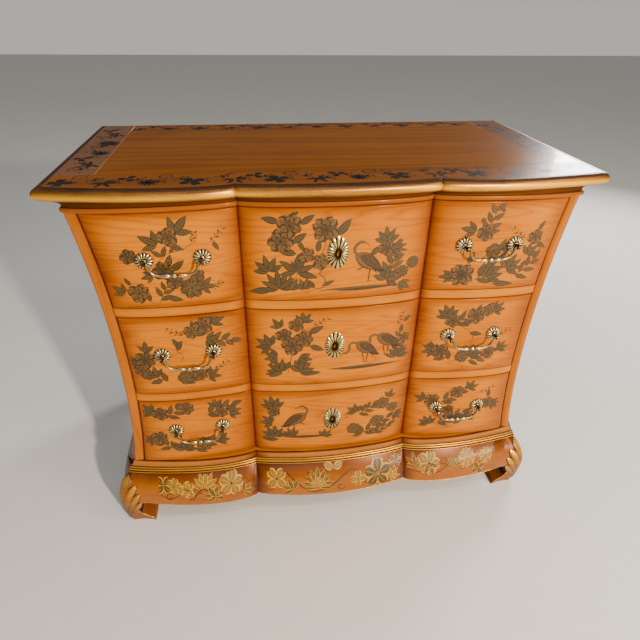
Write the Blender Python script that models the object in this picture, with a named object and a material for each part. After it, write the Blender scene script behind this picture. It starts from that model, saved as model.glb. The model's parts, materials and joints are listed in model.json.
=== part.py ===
# Serpentine chest of three drawers: metres, +Z up, front towards -Y, floor at Z = 0
import math

import bmesh
import bpy
from mathutils import Matrix, Vector

for item in list(bpy.data.objects):
    bpy.data.objects.remove(item, do_unlink=True)

# Clearances
GAP = 0.0003
DRAWER_CLEARANCE = 0.0015
BOX_SIDE_CLEARANCE = 0.0025

# Heights above the floor
APRON_TOP = 0.1385
MOLDING_HEIGHT = 0.024
DRAWER_OPENINGS = (0.1685, 0.179, 0.178)
RAIL_HEIGHT = 0.018
COVE_HEIGHT = 0.0217
EDGE_HEIGHT = 0.021
WAIST_Z = 0.390
SPREAD_START = 0.270
SPREAD_HEIGHT = 0.150
KNEE_Z = 0.070

# Widths measured from the middle plane
GROOVE_X = 0.168
WAIST_HALF = 0.4132
TOP_FLARE = 0.0270
BASE_FLARE = 0.0158
SIDE_SPREAD = 0.0240
TOP_OVERHANG = 0.0198
COVE_OVERHANG = 0.0028
MOLDING_OVERHANG = 0.0155
KNEE_OVERHANG = 0.0255
CORNER_BLEND = 0.050
CORNER_INSET = 0.027
TOE_TUCK = 0.004
FOOT_WIDTH = 0.0847

# Depths and the serpentine's forward reach from the stile plane
CASE_DEPTH = 0.445
DRAWER_GROOVE = -0.009
DRAWER_END = -0.002
DRAWER_MIDDLE = 0.0235
DRAWER_FLANK = 0.0150
FLANK_EXTRA = 0.0040
EDGE_GROOVE = 0.0125
EDGE_MIDDLE = 0.0160
EDGE_FLANK = 0.0188
MOLDING_GROOVE = 0.0155
MOLDING_END = 0.007
MOLDING_MIDDLE = 0.0180
MOLDING_FLANK = 0.0165
APRON_INSET = 0.004
APRON_SWELL = 0.030
TOE_RETREAT = 0.009
APRON_DIP = 0.007
RAIL_SETBACK = 0.001

# Board thicknesses
STILE_WIDTH = 0.0185
STILE_DEPTH = 0.028
SIDE_THICKNESS = 0.015
BACK_THICKNESS = 0.008
BACK_INSET = 0.003
FRONT_BACK_PLANE = 0.026
BOX_THICKNESS = 0.012
BOX_BOTTOM_THICKNESS = 0.006
BOX_BOTTOM_RAISE = 0.010
BOX_REAR_SPACE = 0.030
BOX_UPPER_MARGIN = 0.012
BOTTOM_BOARD_THICKNESS = 0.012
BORDER_THICKNESS = 0.003
BORDER_WIDTH = 0.0655
BORDER_REAR_WIDTH = 0.059
BORDER_FRONT = 0.056
EDGE_REACH = 0.0147
EDGE_ARC_START = 0.0035
RAIL_DEPTH = 0.055
BOTTOM_RAIL_DEPTH = 0.050
MOLDING_DEPTH = 0.016
TOP_RAIL_DEPTH = 0.035
COVE_DEPTH = 0.030
APRON_THICKNESS = 0.022
FOOT_CORNER_RADIUS = 0.018
REAR_CORNER_RADIUS = 0.004
KNEE_LEAF_HEIGHT = 0.003
KNEE_LEAF_LOW = 0.012
KNEE_LEAF_TOP = 0.130
KNEE_LEAF_FADE = 0.022
TOE_HEIGHT = 0.016
RUNNER_WIDTH = 0.026
RUNNER_HEIGHT = 0.0145
FRAME_REAR_WIDTH = 0.045

# Hardware
PULL_FROM_GROOVE = 0.112
PULL_PITCH = 0.095
PULL_RAISE = 0.006
PIVOT_REACH = 0.027
BAIL_DROP = 0.023
BAIL_RADIUS = 0.0016
BAIL_PIN_RADIUS = 0.0017
BAIL_PIN_INSET = 0.0055
EYE_RADIUS = 0.0046
EYE_HOLE_RADIUS = 0.0020
POST_THICKNESS = 0.0050
POST_HEIGHT = 0.0056
POST_BORE_RADIUS = 0.0043
ROSETTE_RADIUS = 0.0155
ROSETTE_HEIGHT = 0.0055
ROSETTE_SEAT = 0.0006
NUT_RADIUS = 0.0080
NUT_THICKNESS = 0.003
PLATE_HALF_WIDTH = 0.0195
PLATE_HALF_HEIGHT = 0.031
PLATE_HEIGHT = 0.004
PLATE_RAISE = 0.005
KEYHOLE_RADIUS = 0.0026
KEYHOLE_SLOT = 0.0085

# Sizes that follow from the sizes above
TOP_HALF = WAIST_HALF + TOP_FLARE + TOP_OVERHANG
COVE_HALF = WAIST_HALF + TOP_FLARE + COVE_OVERHANG
MOLDING_HALF = WAIST_HALF + BASE_FLARE + MOLDING_OVERHANG
KNEE_HALF = MOLDING_HALF + KNEE_OVERHANG
PULL_X = GROOVE_X + PULL_FROM_GROOVE
FRONT_REACH = MOLDING_GROOVE + MOLDING_MIDDLE - APRON_INSET + APRON_SWELL
BACK_Y = (CASE_DEPTH + FRONT_REACH) / 2
FRONT_Y = BACK_Y - CASE_DEPTH
MOLDING_TOP = APRON_TOP + MOLDING_HEIGHT
DRAWERS_TOP = MOLDING_TOP + sum(DRAWER_OPENINGS) + 2 * RAIL_HEIGHT
COVE_TOP = DRAWERS_TOP + COVE_HEIGHT
TOTAL_HEIGHT = COVE_TOP + GAP + EDGE_HEIGHT
INNER_BACK_Y = BACK_Y - BACK_INSET - BACK_THICKNESS

# Positions across the front: 0 is the middle, 1 the groove, 2 the outer edge
HALF_STATIONS = (0.35, 0.65, 0.85, 0.95, 1.0, 1.05, 1.14, 1.32, 1.52, 1.72, 1.87, 1.96, 2.0)
STATIONS = [-s for s in reversed(HALF_STATIONS)] + [0.0] + list(HALF_STATIONS)


def smooth(t):
    t = min(1.0, max(0.0, t))
    return t * t * (3 - 2 * t)


def levels(low, high, count):
    return [low + (high - low) * i / (count - 1) for i in range(count)]


# Half width over the stiles, least at the waist
def stile_half(z):
    if z > WAIST_Z:
        return WAIST_HALF + TOP_FLARE * ((z - WAIST_Z) / (DRAWERS_TOP - WAIST_Z)) ** 2.13
    return WAIST_HALF + BASE_FLARE * ((WAIST_Z - z) / (WAIST_Z - MOLDING_TOP)) ** 2.2


# Half width over the side panels, which spread further than the stiles near the base
def side_half(z):
    return stile_half(z) + SIDE_SPREAD * smooth((SPREAD_START - z) / SPREAD_HEIGHT)


# The side's outer surface, blended from the stile's edge at the front corner
def side_x(y, z):
    blend = smooth((y - FRONT_Y) / CORNER_BLEND)
    return stile_half(z) + (side_half(z) - stile_half(z)) * blend


# The feet and side aprons swell out to the knee and tuck in again to the toe
def knee_x(y, z):
    if z < KNEE_Z:
        return KNEE_HALF - TOE_TUCK * ((KNEE_Z - z) / KNEE_Z) ** 2
    rise = ((z - KNEE_Z) / (APRON_TOP - KNEE_Z)) ** 2
    blend = smooth((y - FRONT_Y) / CORNER_BLEND)
    side_inset = KNEE_HALF - side_half(APRON_TOP)
    return KNEE_HALF - rise * (CORNER_INSET + (side_inset - CORNER_INSET) * blend)


def stile_inner(z):
    return stile_half(z) - STILE_WIDTH


def case_levels():
    return levels(APRON_TOP, DRAWERS_TOP, 15)


# A half width at a height on the straight runs between the case's levels
def on_runs(half_at, z):
    step = (DRAWERS_TOP - APRON_TOP) / 14
    i = min(13, max(0, int((z - APRON_TOP) / step)))
    low = APRON_TOP + i * step
    share = (z - low) / step
    return half_at(low) * (1 - share) + half_at(low + step) * share


# Forward reach of a three-lobed line at a position across the front
def lobed(station, groove, middle, flank, end, power):
    s = abs(station)
    if s <= 1:
        return groove + middle * max(0.0, math.cos(math.pi * s / 2)) ** power
    t = min(1.0, s - 1)
    arc = max(0.0, math.sin(math.pi * t ** 0.9)) ** power
    return groove + (end - groove) * smooth(t) + flank * arc


def drawer_reach(station, z):
    flank = DRAWER_FLANK + FLANK_EXTRA * smooth((z - DRAWERS_TOP + DRAWER_OPENINGS[2]) / DRAWER_OPENINGS[2])
    return lobed(station, DRAWER_GROOVE, DRAWER_MIDDLE, flank, DRAWER_END, 0.5)


def edge_reach(station):
    return lobed(station, EDGE_GROOVE, EDGE_MIDDLE, EDGE_FLANK, 0.0, 0.6)


def molding_reach(station):
    return lobed(station, MOLDING_GROOVE, MOLDING_MIDDLE, MOLDING_FLANK, MOLDING_END, 0.7)


# The apron and feet follow the base molding and swell forward below it
def apron_reach(station, z):
    if z > KNEE_Z:
        swell = APRON_SWELL * math.sin(math.pi / 2 * (APRON_TOP - z) / (APRON_TOP - KNEE_Z))
    else:
        swell = APRON_SWELL - TOE_RETREAT * ((KNEE_Z - z) / KNEE_Z) ** 1.5
    return molding_reach(station) - APRON_INSET + swell


def station_x(station, half):
    s = abs(station)
    x = s * GROOVE_X if s <= 1 else GROOVE_X + (s - 1) * (half - GROOVE_X)
    return math.copysign(x, station)


def front_point(station, half, reach, z):
    return (station_x(station, half), FRONT_Y - reach, z)


def make_material(name, colour, roughness, metallic=0.0):
    material = bpy.data.materials.new(name)
    material.use_nodes = True
    shader = material.node_tree.nodes["Principled BSDF"]
    shader.inputs["Base Color"].default_value = (*colour, 1.0)
    shader.inputs["Roughness"].default_value = roughness
    shader.inputs["Metallic"].default_value = metallic
    return material


def make_object(name, vertices, faces, look, origin=(0, 0, 0)):
    mesh = bpy.data.meshes.new(name)
    shift = Vector(origin)
    mesh.from_pydata([Vector(v) - shift for v in vertices], [], faces)
    shell = bmesh.new()
    shell.from_mesh(mesh)
    bmesh.ops.recalc_face_normals(shell, faces=shell.faces)
    bmesh.ops.triangulate(shell, faces=shell.faces)
    shell.to_mesh(mesh)
    shell.free()
    colour, roughness, metallic = LOOKS[look]
    mesh.materials.append(make_material(name, colour, roughness, metallic))
    item = bpy.data.objects.new(name, mesh)
    item.location = origin
    bpy.context.collection.objects.link(item)
    return item


# Joins equal rings of points into closed solids, one solid for each list of rings
def loft(name, solids, look, origin=(0, 0, 0)):
    vertices = []
    faces = []
    for rings in solids:
        start = len(vertices)
        count = len(rings[0])
        for ring in rings:
            vertices.extend(ring)
        for r in range(len(rings) - 1):
            a = start + r * count
            for i in range(count):
                j = (i + 1) % count
                faces.append((a + i, a + j, a + count + j, a + count + i))
        last = start + (len(rings) - 1) * count
        faces.append(tuple(range(start, start + count)))
        faces.append(tuple(range(last, last + count)))
    return make_object(name, vertices, faces, look, origin)


def box_rings(low, high):
    rings = []
    for z in (low[2], high[2]):
        rings.append([(low[0], low[1], z), (high[0], low[1], z), (high[0], high[1], z), (low[0], high[1], z)])
    return rings


def make_boxes(name, boxes, look):
    return loft(name, [box_rings(low, high) for low, high in boxes], look)


def add_boolean(target, tool, operation):
    tool.hide_render = True
    tool.display_type = "WIRE"
    cut = target.modifiers.new(operation.title(), "BOOLEAN")
    cut.operation = operation
    cut.solver = "EXACT"
    cut.object = tool


# A cutter is a guide shape: it is hidden from the model
def make_cutter(name, solids):
    return loft(name, solids, "walnut")


def mirrored(rings):
    return [[(-x, y, z) for x, y, z in ring] for ring in rings]


def prism_y(outline, low_y, high_y):
    return [[(x, y, z) for x, z in outline] for y in (low_y, high_y)]


def prism_x(outline, low_x, high_x):
    return [[(x, y, z) for y, z in outline] for x in (low_x, high_x)]


def disc_outline(centre_x, centre_z, radius, count):
    turn = [2 * math.pi * (i + 0.5) / count for i in range(count)]
    return [(centre_x + radius * math.cos(a), centre_z + radius * math.sin(a)) for a in turn]


# Colour, roughness and metallic value of each kind of surface
LOOKS = {
    "honey": ((0.55, 0.22, 0.045), 0.25, 0.0),
    "top": ((0.30, 0.12, 0.035), 0.2, 0.0),
    "border": ((0.16, 0.07, 0.03), 0.22, 0.0),
    "gilt": ((0.42, 0.24, 0.08), 0.35, 0.0),
    "cove": ((0.10, 0.04, 0.02), 0.35, 0.0),
    "walnut": ((0.12, 0.07, 0.045), 0.35, 0.0),
    "apron": ((0.48, 0.14, 0.035), 0.25, 0.0),
    "leaf": ((0.45, 0.26, 0.09), 0.35, 0.0),
    "plain": ((0.50, 0.36, 0.21), 0.6, 0.0),
    "brass": ((0.55, 0.47, 0.33), 0.32, 1.0),
}


# Top: panel with a raised field, banded border, rounded edge molding
def top_ring(station, low, high, inset):
    front = FRONT_Y - edge_reach(station) + inset
    x = station_x(station, TOP_HALF)
    return [(x, front, low), (x, front, high), (x, BACK_Y, high), (x, BACK_Y, low)]


def build_top():
    low = COVE_TOP + GAP
    seat = TOTAL_HEIGHT - BORDER_THICKNESS
    half = TOP_HALF - BORDER_WIDTH
    field_front = FRONT_Y + BORDER_FRONT
    field_back = BACK_Y - BORDER_REAR_WIDTH
    panel = loft("top_panel", [[top_ring(s, low, seat - GAP, 0) for s in STATIONS]], "top")
    field = make_cutter("field_guide", [box_rings((-half, field_front, low + EDGE_HEIGHT / 3),
                                                  (half, field_back, TOTAL_HEIGHT))])
    add_boolean(panel, field, "UNION")
    border = loft("top_border", [[top_ring(s, seat, TOTAL_HEIGHT, 0) for s in STATIONS]], "border")
    window = make_cutter("border_window", [box_rings((-half - GAP, field_front - GAP, low),
                                                     (half + GAP, field_back + GAP, TOTAL_HEIGHT + GAP))])
    add_boolean(border, window, "DIFFERENCE")


# Each section point is a half width, a forward offset, a height and its share of the drawers' line
def band_front(section, low_share_line):
    rings = []
    for s in STATIONS:
        ring = []
        for half, offset, z, share in section:
            reach = (1 - share) * edge_reach(s) + share * low_share_line(s) + offset
            ring.append(front_point(s, half, reach, z))
        rings.append(ring)
    return rings


def band_side(section, low_share_line):
    rings = []
    for at_front in (True, False):
        ring = []
        for half, offset, z, share in section:
            reach = (1 - share) * edge_reach(2) + share * low_share_line(2) + offset
            y = FRONT_Y - reach + GAP * 1.5 if at_front else BACK_Y
            ring.append((half, y, z))
        rings.append(ring)
    return rings


def edge_section():
    middle = TOTAL_HEIGHT - EDGE_HEIGHT / 2
    points = [(TOP_HALF + GAP, GAP, TOTAL_HEIGHT - EDGE_HEIGHT, 0), (TOP_HALF + GAP, GAP, TOTAL_HEIGHT, 0)]
    for i in range(8):
        angle = math.pi / 2 - math.pi * i / 7
        offset = EDGE_ARC_START + (EDGE_REACH - EDGE_ARC_START) * math.cos(angle)
        points.append((TOP_HALF + offset, offset, middle + EDGE_HEIGHT / 2 * math.sin(angle), 0))
    return points


# A bead at the foot, a hollow, then a step and an ovolo under the overhang
def cove_section():
    inner = COVE_HALF - COVE_DEPTH
    bead = COVE_HEIGHT * 0.42
    bead_middle = DRAWERS_TOP + GAP + bead / 2
    points = [(inner, -COVE_DEPTH, COVE_TOP, 1), (inner, -COVE_DEPTH, DRAWERS_TOP + GAP, 1)]
    for i in range(5):
        angle = -math.pi / 2 + math.pi * i / 4
        bulge = 0.0030 * math.cos(angle)
        points.append((COVE_HALF - 0.003 + bulge, bulge, bead_middle + bead / 2 * math.sin(angle), 1))
    hollow_low = DRAWERS_TOP + bead + 0.0012
    hollow_high = COVE_TOP - 0.0055
    for i in range(4):
        angle = math.pi / 2 * i / 3
        half = COVE_HALF - 0.0035 + 0.0115 * (1 - math.cos(angle))
        z = hollow_low + (hollow_high - hollow_low) * math.sin(angle)
        share = 1 - 0.5 * (1 - math.cos(angle))
        points.append((half, -0.0005 - 0.0040 * (1 - math.cos(angle)), z, share))
    points.append((TOP_HALF - 0.0075, -0.0045, hollow_high, 0.3))
    points.append((TOP_HALF - 0.0075, -0.0045, COVE_TOP - 0.003, 0.3))
    points.append((TOP_HALF - 0.0012, -0.0012, COVE_TOP, 0))
    return points


def build_top_moldings():
    def drawers_line(station):
        return drawer_reach(station, DRAWERS_TOP)

    loft("top_edge_front", [band_front(edge_section(), drawers_line)], "gilt")
    side = band_side(edge_section(), drawers_line)
    loft("top_edge_right", [side], "gilt")
    loft("top_edge_left", [mirrored(side)], "gilt")
    front = band_front(cove_section(), drawers_line)
    rear_right = [(x, BACK_Y, z) for x, _, z in front[-1]]
    rear_left = [(-x, y, z) for x, y, z in rear_right]
    loft("top_cove", [[rear_left] + front + [rear_right]], "cove")


# Stiles and side panels are lofted up the case
# The stile's foot stands back behind the base molding
def stile_rings():
    rings = []
    rear = FRONT_Y + STILE_DEPTH
    soft = 0.0015
    behind = FRONT_Y - MOLDING_END + MOLDING_DEPTH + GAP
    ahead = FRONT_Y - DRAWER_END
    rows = [(APRON_TOP + GAP, behind), (MOLDING_TOP + GAP, behind), (MOLDING_TOP + 2 * GAP, ahead)]
    rows += [(z, ahead) for z in case_levels() if z > MOLDING_TOP + 0.005]
    for z, face in rows:
        rings.append([(stile_inner(z), face, z), (stile_half(z) - soft, face, z),
                      (stile_half(z), face + soft, z), (side_x(rear, z), rear, z), (stile_inner(z), rear, z)])
    return rings


# A side runs down past the case into its arched apron, and is notched over both feet
def side_rings():
    front = FRONT_Y + STILE_DEPTH + GAP
    arch_start = FRONT_Y - APRON_SWELL + FOOT_WIDTH
    arch_end = BACK_Y - BACK_INSET - FOOT_WIDTH
    rows = sorted([front, FRONT_Y + CORNER_BLEND, BACK_Y] + levels(arch_start, arch_end, 6))
    rings = []
    for y in rows:
        along = min(1.0, max(0.0, (y - arch_start) / (arch_end - arch_start)))
        low = KNEE_Z - APRON_DIP * math.sin(math.pi * along)
        apron = levels(low, APRON_TOP, 5)
        case = case_levels()[1:]
        outer = [(knee_x(y, z), y, z) for z in apron] + [(side_x(y, z), y, z) for z in case]
        inner = [(x - SIDE_THICKNESS, y, z) for x, y, z in reversed(outer)]
        rings.append(outer + inner)
    return rings


def build_sides():
    side_end = FRONT_Y - APRON_SWELL + FOOT_WIDTH + GAP
    rear_start = BACK_Y - BACK_INSET - FOOT_WIDTH - GAP
    low_x = KNEE_HALF - FOOT_WIDTH
    high_x = KNEE_HALF + SIDE_THICKNESS
    notches = [box_rings((low_x, FRONT_Y, 0), (high_x, side_end, APRON_TOP + GAP)),
               box_rings((low_x, rear_start, 0), (high_x, BACK_Y + SIDE_THICKNESS, APRON_TOP + GAP))]
    for name, flip in (("side_right", False), ("side_left", True)):
        panel = loft(name, [mirrored(side_rings()) if flip else side_rings()], "walnut")
        for i, notch in enumerate(notches):
            cutter = make_cutter(f"{name}_notch_{i}", [mirrored(notch) if flip else notch])
            add_boolean(panel, cutter, "DIFFERENCE")


def build_case():
    loft("stile_right", [stile_rings()], "honey")
    loft("stile_left", [mirrored(stile_rings())], "honey")
    rings = []
    under_cove = COVE_HALF - COVE_DEPTH - GAP
    rows = [APRON_TOP + GAP] + case_levels()[1:-1] + [DRAWERS_TOP - GAP]
    rows = [(z, on_runs(side_half, z) - SIDE_THICKNESS - GAP) for z in rows]
    for z, half in rows + [(DRAWERS_TOP, under_cove), (COVE_TOP, under_cove)]:
        rings.append([(-half, INNER_BACK_Y, z), (half, INNER_BACK_Y, z),
                      (half, BACK_Y - BACK_INSET, z), (-half, BACK_Y - BACK_INSET, z)])
    loft("back_panel", [rings], "plain")


def rail_rings(low, high):
    rings = []
    rear = FRONT_Y + RAIL_DEPTH
    soft = 0.001
    for s in STATIONS:
        ring = []
        for z, back_off in ((low, soft), (low + soft, 0), (high - soft, 0), (high, soft)):
            half = on_runs(stile_inner, z) - GAP
            ring.append(front_point(s, half, drawer_reach(s, z) - RAIL_SETBACK - back_off, z))
        for z in (high, low):
            ring.append((station_x(s, on_runs(stile_inner, z) - GAP), rear, z))
        rings.append(ring)
    return rings


def opening_spans():
    spans = []
    low = MOLDING_TOP
    for height in DRAWER_OPENINGS:
        spans.append((low, low + height))
        low += height + RAIL_HEIGHT
    return spans


def build_rails():
    spans = opening_spans()
    for name, i in (("rail_lower", 0), ("rail_upper", 1)):
        loft(name, [rail_rings(spans[i][1], spans[i][1] + RAIL_HEIGHT)], "honey")
    rear = FRONT_Y + BOTTOM_RAIL_DEPTH
    rings = []
    for s in STATIONS[2:-2]:
        x = station_x(s, MOLDING_HALF - MOLDING_DEPTH)
        front = FRONT_Y - molding_reach(s) + MOLDING_DEPTH + GAP
        low = APRON_TOP + GAP
        rings.append([(x, front, low), (x, front, MOLDING_TOP), (x, rear, MOLDING_TOP), (x, rear, low)])
    loft("bottom_rail", [rings], "plain")
    half = COVE_HALF - COVE_DEPTH - GAP
    front = FRONT_Y - DRAWER_GROOVE + COVE_DEPTH + GAP
    make_boxes("top_rail", [((-half, front, DRAWERS_TOP + GAP), (half, front + TOP_RAIL_DEPTH, COVE_TOP))], "plain")


# Three reeds step forward from a hollow at the top of the base molding
def molding_section():
    reed = 0.0024
    points = [(-MOLDING_DEPTH, MOLDING_TOP), (-MOLDING_DEPTH, APRON_TOP + GAP)]
    for i in range(3):
        centre = (-reed - 0.0018 * i, APRON_TOP + GAP + reed + 2 * reed * i)
        for k in range(5):
            if k == 0 and i > 0:
                continue
            angle = -math.pi / 2 + math.pi * k / 4
            points.append((centre[0] + reed * math.cos(angle), centre[1] + reed * math.sin(angle)))
    points.append((-0.0105, APRON_TOP + 0.0190))
    points.append((-0.0125, MOLDING_TOP))
    return points


def build_base_molding():
    section = molding_section()
    rings = []
    for s in STATIONS:
        rings.append([front_point(s, MOLDING_HALF + offset, molding_reach(s) + offset, z) for offset, z in section])
    loft("base_molding", [rings], "gilt")


def build_apron():
    half = KNEE_HALF - FOOT_WIDTH - GAP
    end = 1 + (half - GROOVE_X) / (MOLDING_HALF - GROOVE_X)
    rings = []
    for s in STATIONS:
        place = s if abs(s) <= 1 else math.copysign(1 + (abs(s) - 1) * (end - 1), s)
        t = abs(place) if abs(place) <= 1 else (abs(place) - 1) / (end - 1)
        arch = math.cos(math.pi * t / 2) if abs(place) <= 1 else math.sin(math.pi * t ** 0.7)
        low = KNEE_Z - APRON_DIP * max(0.0, arch) ** 0.8
        heights = levels(low, APRON_TOP, 5)
        front = [front_point(place, MOLDING_HALF, apron_reach(place, z), z) for z in heights]
        rear = [front_point(place, MOLDING_HALF, apron_reach(place, z) - APRON_THICKNESS, z)
                for z in (heights[4], heights[2], heights[0])]
        rings.append(front + rear)
    loft("apron_front", [rings], "apron")


# The plan of a foot's block at one height: front run, rounded corner, side run, inner corner
def foot_ring(z):
    corner_x = knee_x(FRONT_Y, z)
    corner_reach = apron_reach(2, z)
    inner_x = KNEE_HALF - FOOT_WIDTH
    radius = FOOT_CORNER_RADIUS
    raised = smooth((z - KNEE_LEAF_LOW) / KNEE_LEAF_FADE) * smooth((KNEE_LEAF_TOP - z) / KNEE_LEAF_FADE)

    def reach_at(x):
        return apron_reach(1 + (x - GROOVE_X) / (MOLDING_HALF - GROOVE_X), z)

    outer = []
    for i in range(5):
        x = inner_x + (corner_x - radius - inner_x) * i / 4
        lift = KNEE_LEAF_HEIGHT * raised * smooth((i - 1.6) / 1.2)
        blend = smooth(i / 4)
        outer.append((x, FRONT_Y - reach_at(x) * (1 - blend) - corner_reach * blend - lift, z))
    centre = (corner_x - radius, FRONT_Y - corner_reach + radius)
    for i in range(1, 7):
        angle = -math.pi / 2 + math.pi / 2 * i / 7
        ridge = 1 + 0.5 * math.cos(math.pi * i)
        reach = radius + KNEE_LEAF_HEIGHT * raised * ridge
        outer.append((centre[0] + reach * math.cos(angle), centre[1] + reach * math.sin(angle), z))
    side_end = FRONT_Y - APRON_SWELL + FOOT_WIDTH
    for i in range(4):
        y = centre[1] + (side_end - centre[1]) * i / 3
        lift = KNEE_LEAF_HEIGHT * raised * smooth((1.5 - i) / 1.2)
        outer.append((knee_x(y, z) + lift, y, z))
    return outer + [(inner_x, side_end, z)]


def rear_foot_ring(z):
    x = knee_x(BACK_Y, z)
    y = BACK_Y - BACK_INSET
    side_end = y - FOOT_WIDTH
    inner_x = KNEE_HALF - FOOT_WIDTH
    radius = REAR_CORNER_RADIUS
    return [(x, side_end, z), (x, y - radius, z), (x - radius, y, z), (inner_x, y, z), (inner_x, side_end, z)]


# The hollow that leaves a foot's curled toe, as distances in from the knee and heights
def curl_outline():
    tip = FOOT_WIDTH * 0.775
    hollow = FOOT_WIDTH * 0.388
    beyond = FOOT_WIDTH * 1.06
    middle = tip - TOE_HEIGHT * 0.4
    middle_z = KNEE_Z * 0.58
    points = [(beyond, -TOE_HEIGHT), (tip, -TOE_HEIGHT), (tip, TOE_HEIGHT * 0.25),
              (tip - TOE_HEIGHT * 0.6, TOE_HEIGHT * 0.8)]
    for i in range(7):
        angle = -math.pi * 0.30 + math.pi * 0.80 * i / 6
        high = (KNEE_Z - middle_z) if angle > 0 else (middle_z - TOE_HEIGHT)
        points.append((middle - (middle - hollow) * math.cos(angle), middle_z + high * math.sin(angle)))
    points.append((beyond, KNEE_Z))
    return points


def build_feet():
    front_rings = [foot_ring(z) for z in levels(0, KNEE_Z, 6) + levels(KNEE_Z, APRON_TOP, 6)[1:]]
    rear_rings = [rear_foot_ring(z) for z in levels(0, KNEE_Z, 4) + levels(KNEE_Z, APRON_TOP, 4)[1:]]
    curl = curl_outline()
    front_curl = [(KNEE_HALF - inward, z) for inward, z in curl]
    inner_x = KNEE_HALF - curl[0][0]
    outer_x = KNEE_HALF + 3 * KNEE_LEAF_HEIGHT
    front_y = FRONT_Y - FRONT_REACH
    corner_y = FRONT_Y - APRON_SWELL
    rear_y = BACK_Y - BACK_INSET
    front_prisms = [prism_y(front_curl, front_y, corner_y + curl[0][0]),
                    prism_x([(corner_y + inward, z) for inward, z in curl], inner_x, outer_x)]
    rear_prisms = [prism_y(front_curl, rear_y - curl[0][0], rear_y + 2 * REAR_CORNER_RADIUS),
                   prism_x([(rear_y - inward, z) for inward, z in curl], inner_x, outer_x)]
    cuts = {"foot_front": (front_rings, front_prisms), "foot_rear": (rear_rings, rear_prisms)}
    for name, (rings, prisms) in cuts.items():
        look = "leaf" if name == "foot_front" else "walnut"
        for side in ("right", "left"):
            flip = (lambda r: r) if side == "right" else mirrored
            foot = loft(name + "_" + side, [flip(rings)], look)
            for i, prism in enumerate(prisms):
                cutter = make_cutter(f"{name}_{side}_curl_{i}", [flip(prism)])
                add_boolean(foot, cutter, "DIFFERENCE")


# The lowest drawer rides on the bottom board, the upper two on open frames
def build_inner_structure():
    rear = INNER_BACK_Y - GAP
    supports = (("bottom_board", BOTTOM_RAIL_DEPTH, BOTTOM_BOARD_THICKNESS),
                ("runner_frame_lower", RAIL_DEPTH, RUNNER_HEIGHT),
                ("runner_frame_upper", RAIL_DEPTH, RUNNER_HEIGHT))
    for (name, setback, thickness), span in zip(supports, opening_spans()):
        top = span[0] + DRAWER_CLEARANCE - GAP
        front = FRONT_Y + setback + GAP
        rings = []
        for z in (top - thickness, top):
            half = on_runs(side_half, z) - SIDE_THICKNESS - GAP
            right = [(half, front, z), (half, rear, z)]
            if name != "bottom_board":
                inner = WAIST_HALF - SIDE_THICKNESS - RUNNER_WIDTH
                right = [(inner, rear - FRAME_REAR_WIDTH, z), (inner, front, z)] + right
            rings.append(right + [(-x, y, z) for x, y, z in reversed(right)])
        loft(name, [rings], "plain")


# One drawer: shaped front, straight box, pulls and keyhole plate
def drawer_front_rings(low, high):
    rings = []
    rear = FRONT_Y + FRONT_BACK_PLANE
    soft = 0.0015
    heights = levels(low + soft, high - soft, 4)
    edge = [(low, soft)] + [(z, 0.0) for z in heights] + [(high, soft)]
    for s in STATIONS:
        ring = []
        for z, back_off in edge:
            half = stile_inner(z) - DRAWER_CLEARANCE
            ring.append(front_point(s, half, drawer_reach(s, z) - back_off, z))
        for z in [high] + heights[::-1] + [low]:
            ring.append((station_x(s, stile_inner(z) - DRAWER_CLEARANCE), rear, z))
        rings.append(ring)
    return rings


def surface_reach(x, z):
    half = stile_inner(z) - DRAWER_CLEARANCE
    s = abs(x) / GROOVE_X if abs(x) <= GROOVE_X else 1 + (abs(x) - GROOVE_X) / (half - GROOVE_X)
    return drawer_reach(s, z)


def pull_places(z):
    places = []
    for middle in (-PULL_X, PULL_X):
        for side in (-1, 1):
            places.append((middle + side * PULL_PITCH / 2, z))
    return places


# A rosette lies on the sloping surface of its lobe
def rosette_rings(x, z):
    slope = (surface_reach(x + 0.006, z) - surface_reach(x - 0.006, z)) / 0.012
    turn = Matrix.Rotation(-math.atan(slope), 3, "Z")
    centre = Vector((x, FRONT_Y - surface_reach(x, z) - ROSETTE_SEAT, z))
    profile = ((ROSETTE_RADIUS, 0.0), (ROSETTE_RADIUS, 0.001), (ROSETTE_RADIUS * 0.62, ROSETTE_HEIGHT))
    rings = []
    for radius, height in profile:
        ring = []
        for i in range(16):
            angle = 2 * math.pi * (i + 0.5) / 16
            wide = radius * (0.95 if i % 2 else 1.0)
            ring.append(centre + turn @ Vector((wide * math.cos(angle), -height, wide * math.sin(angle))))
        rings.append(ring)
    return rings


# Faces of a band of rings that closes on itself both ways
def ring_faces(rows, count):
    faces = []
    for r in range(rows):
        a = r * count
        b = (r + 1) % rows * count
        for i in range(count):
            j = (i + 1) % count
            faces.append((a + i, a + j, b + j, b + i))
    return faces


# A post is a flat eye on a stud that runs back through the drawer front to its nut
def post_mesh(x, z):
    pivot = FRONT_Y - PIVOT_REACH
    tail = FRONT_Y + FRONT_BACK_PLANE + NUT_THICKNESS + 0.002
    half = POST_HEIGHT / 2
    outer = [(tail, -half), (tail, half)]
    sweep = math.pi - math.asin(half / EYE_RADIUS)
    for i in range(10):
        angle = math.pi - sweep + 2 * sweep * i / 9
        outer.append((pivot + EYE_RADIUS * math.cos(angle), EYE_RADIUS * math.sin(angle)))
    count = len(outer)
    hole = []
    for y, height in outer:
        angle = math.atan2(height, y - pivot)
        hole.append((pivot + EYE_HOLE_RADIUS * math.cos(angle), EYE_HOLE_RADIUS * math.sin(angle)))
    near = x - POST_THICKNESS / 2
    far = x + POST_THICKNESS / 2
    rows = ((hole, near), (outer, near), (outer, far), (hole, far))
    vertices = [(place, y, z + height) for row, place in rows for y, height in row]
    return vertices, ring_faces(4, count)


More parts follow.
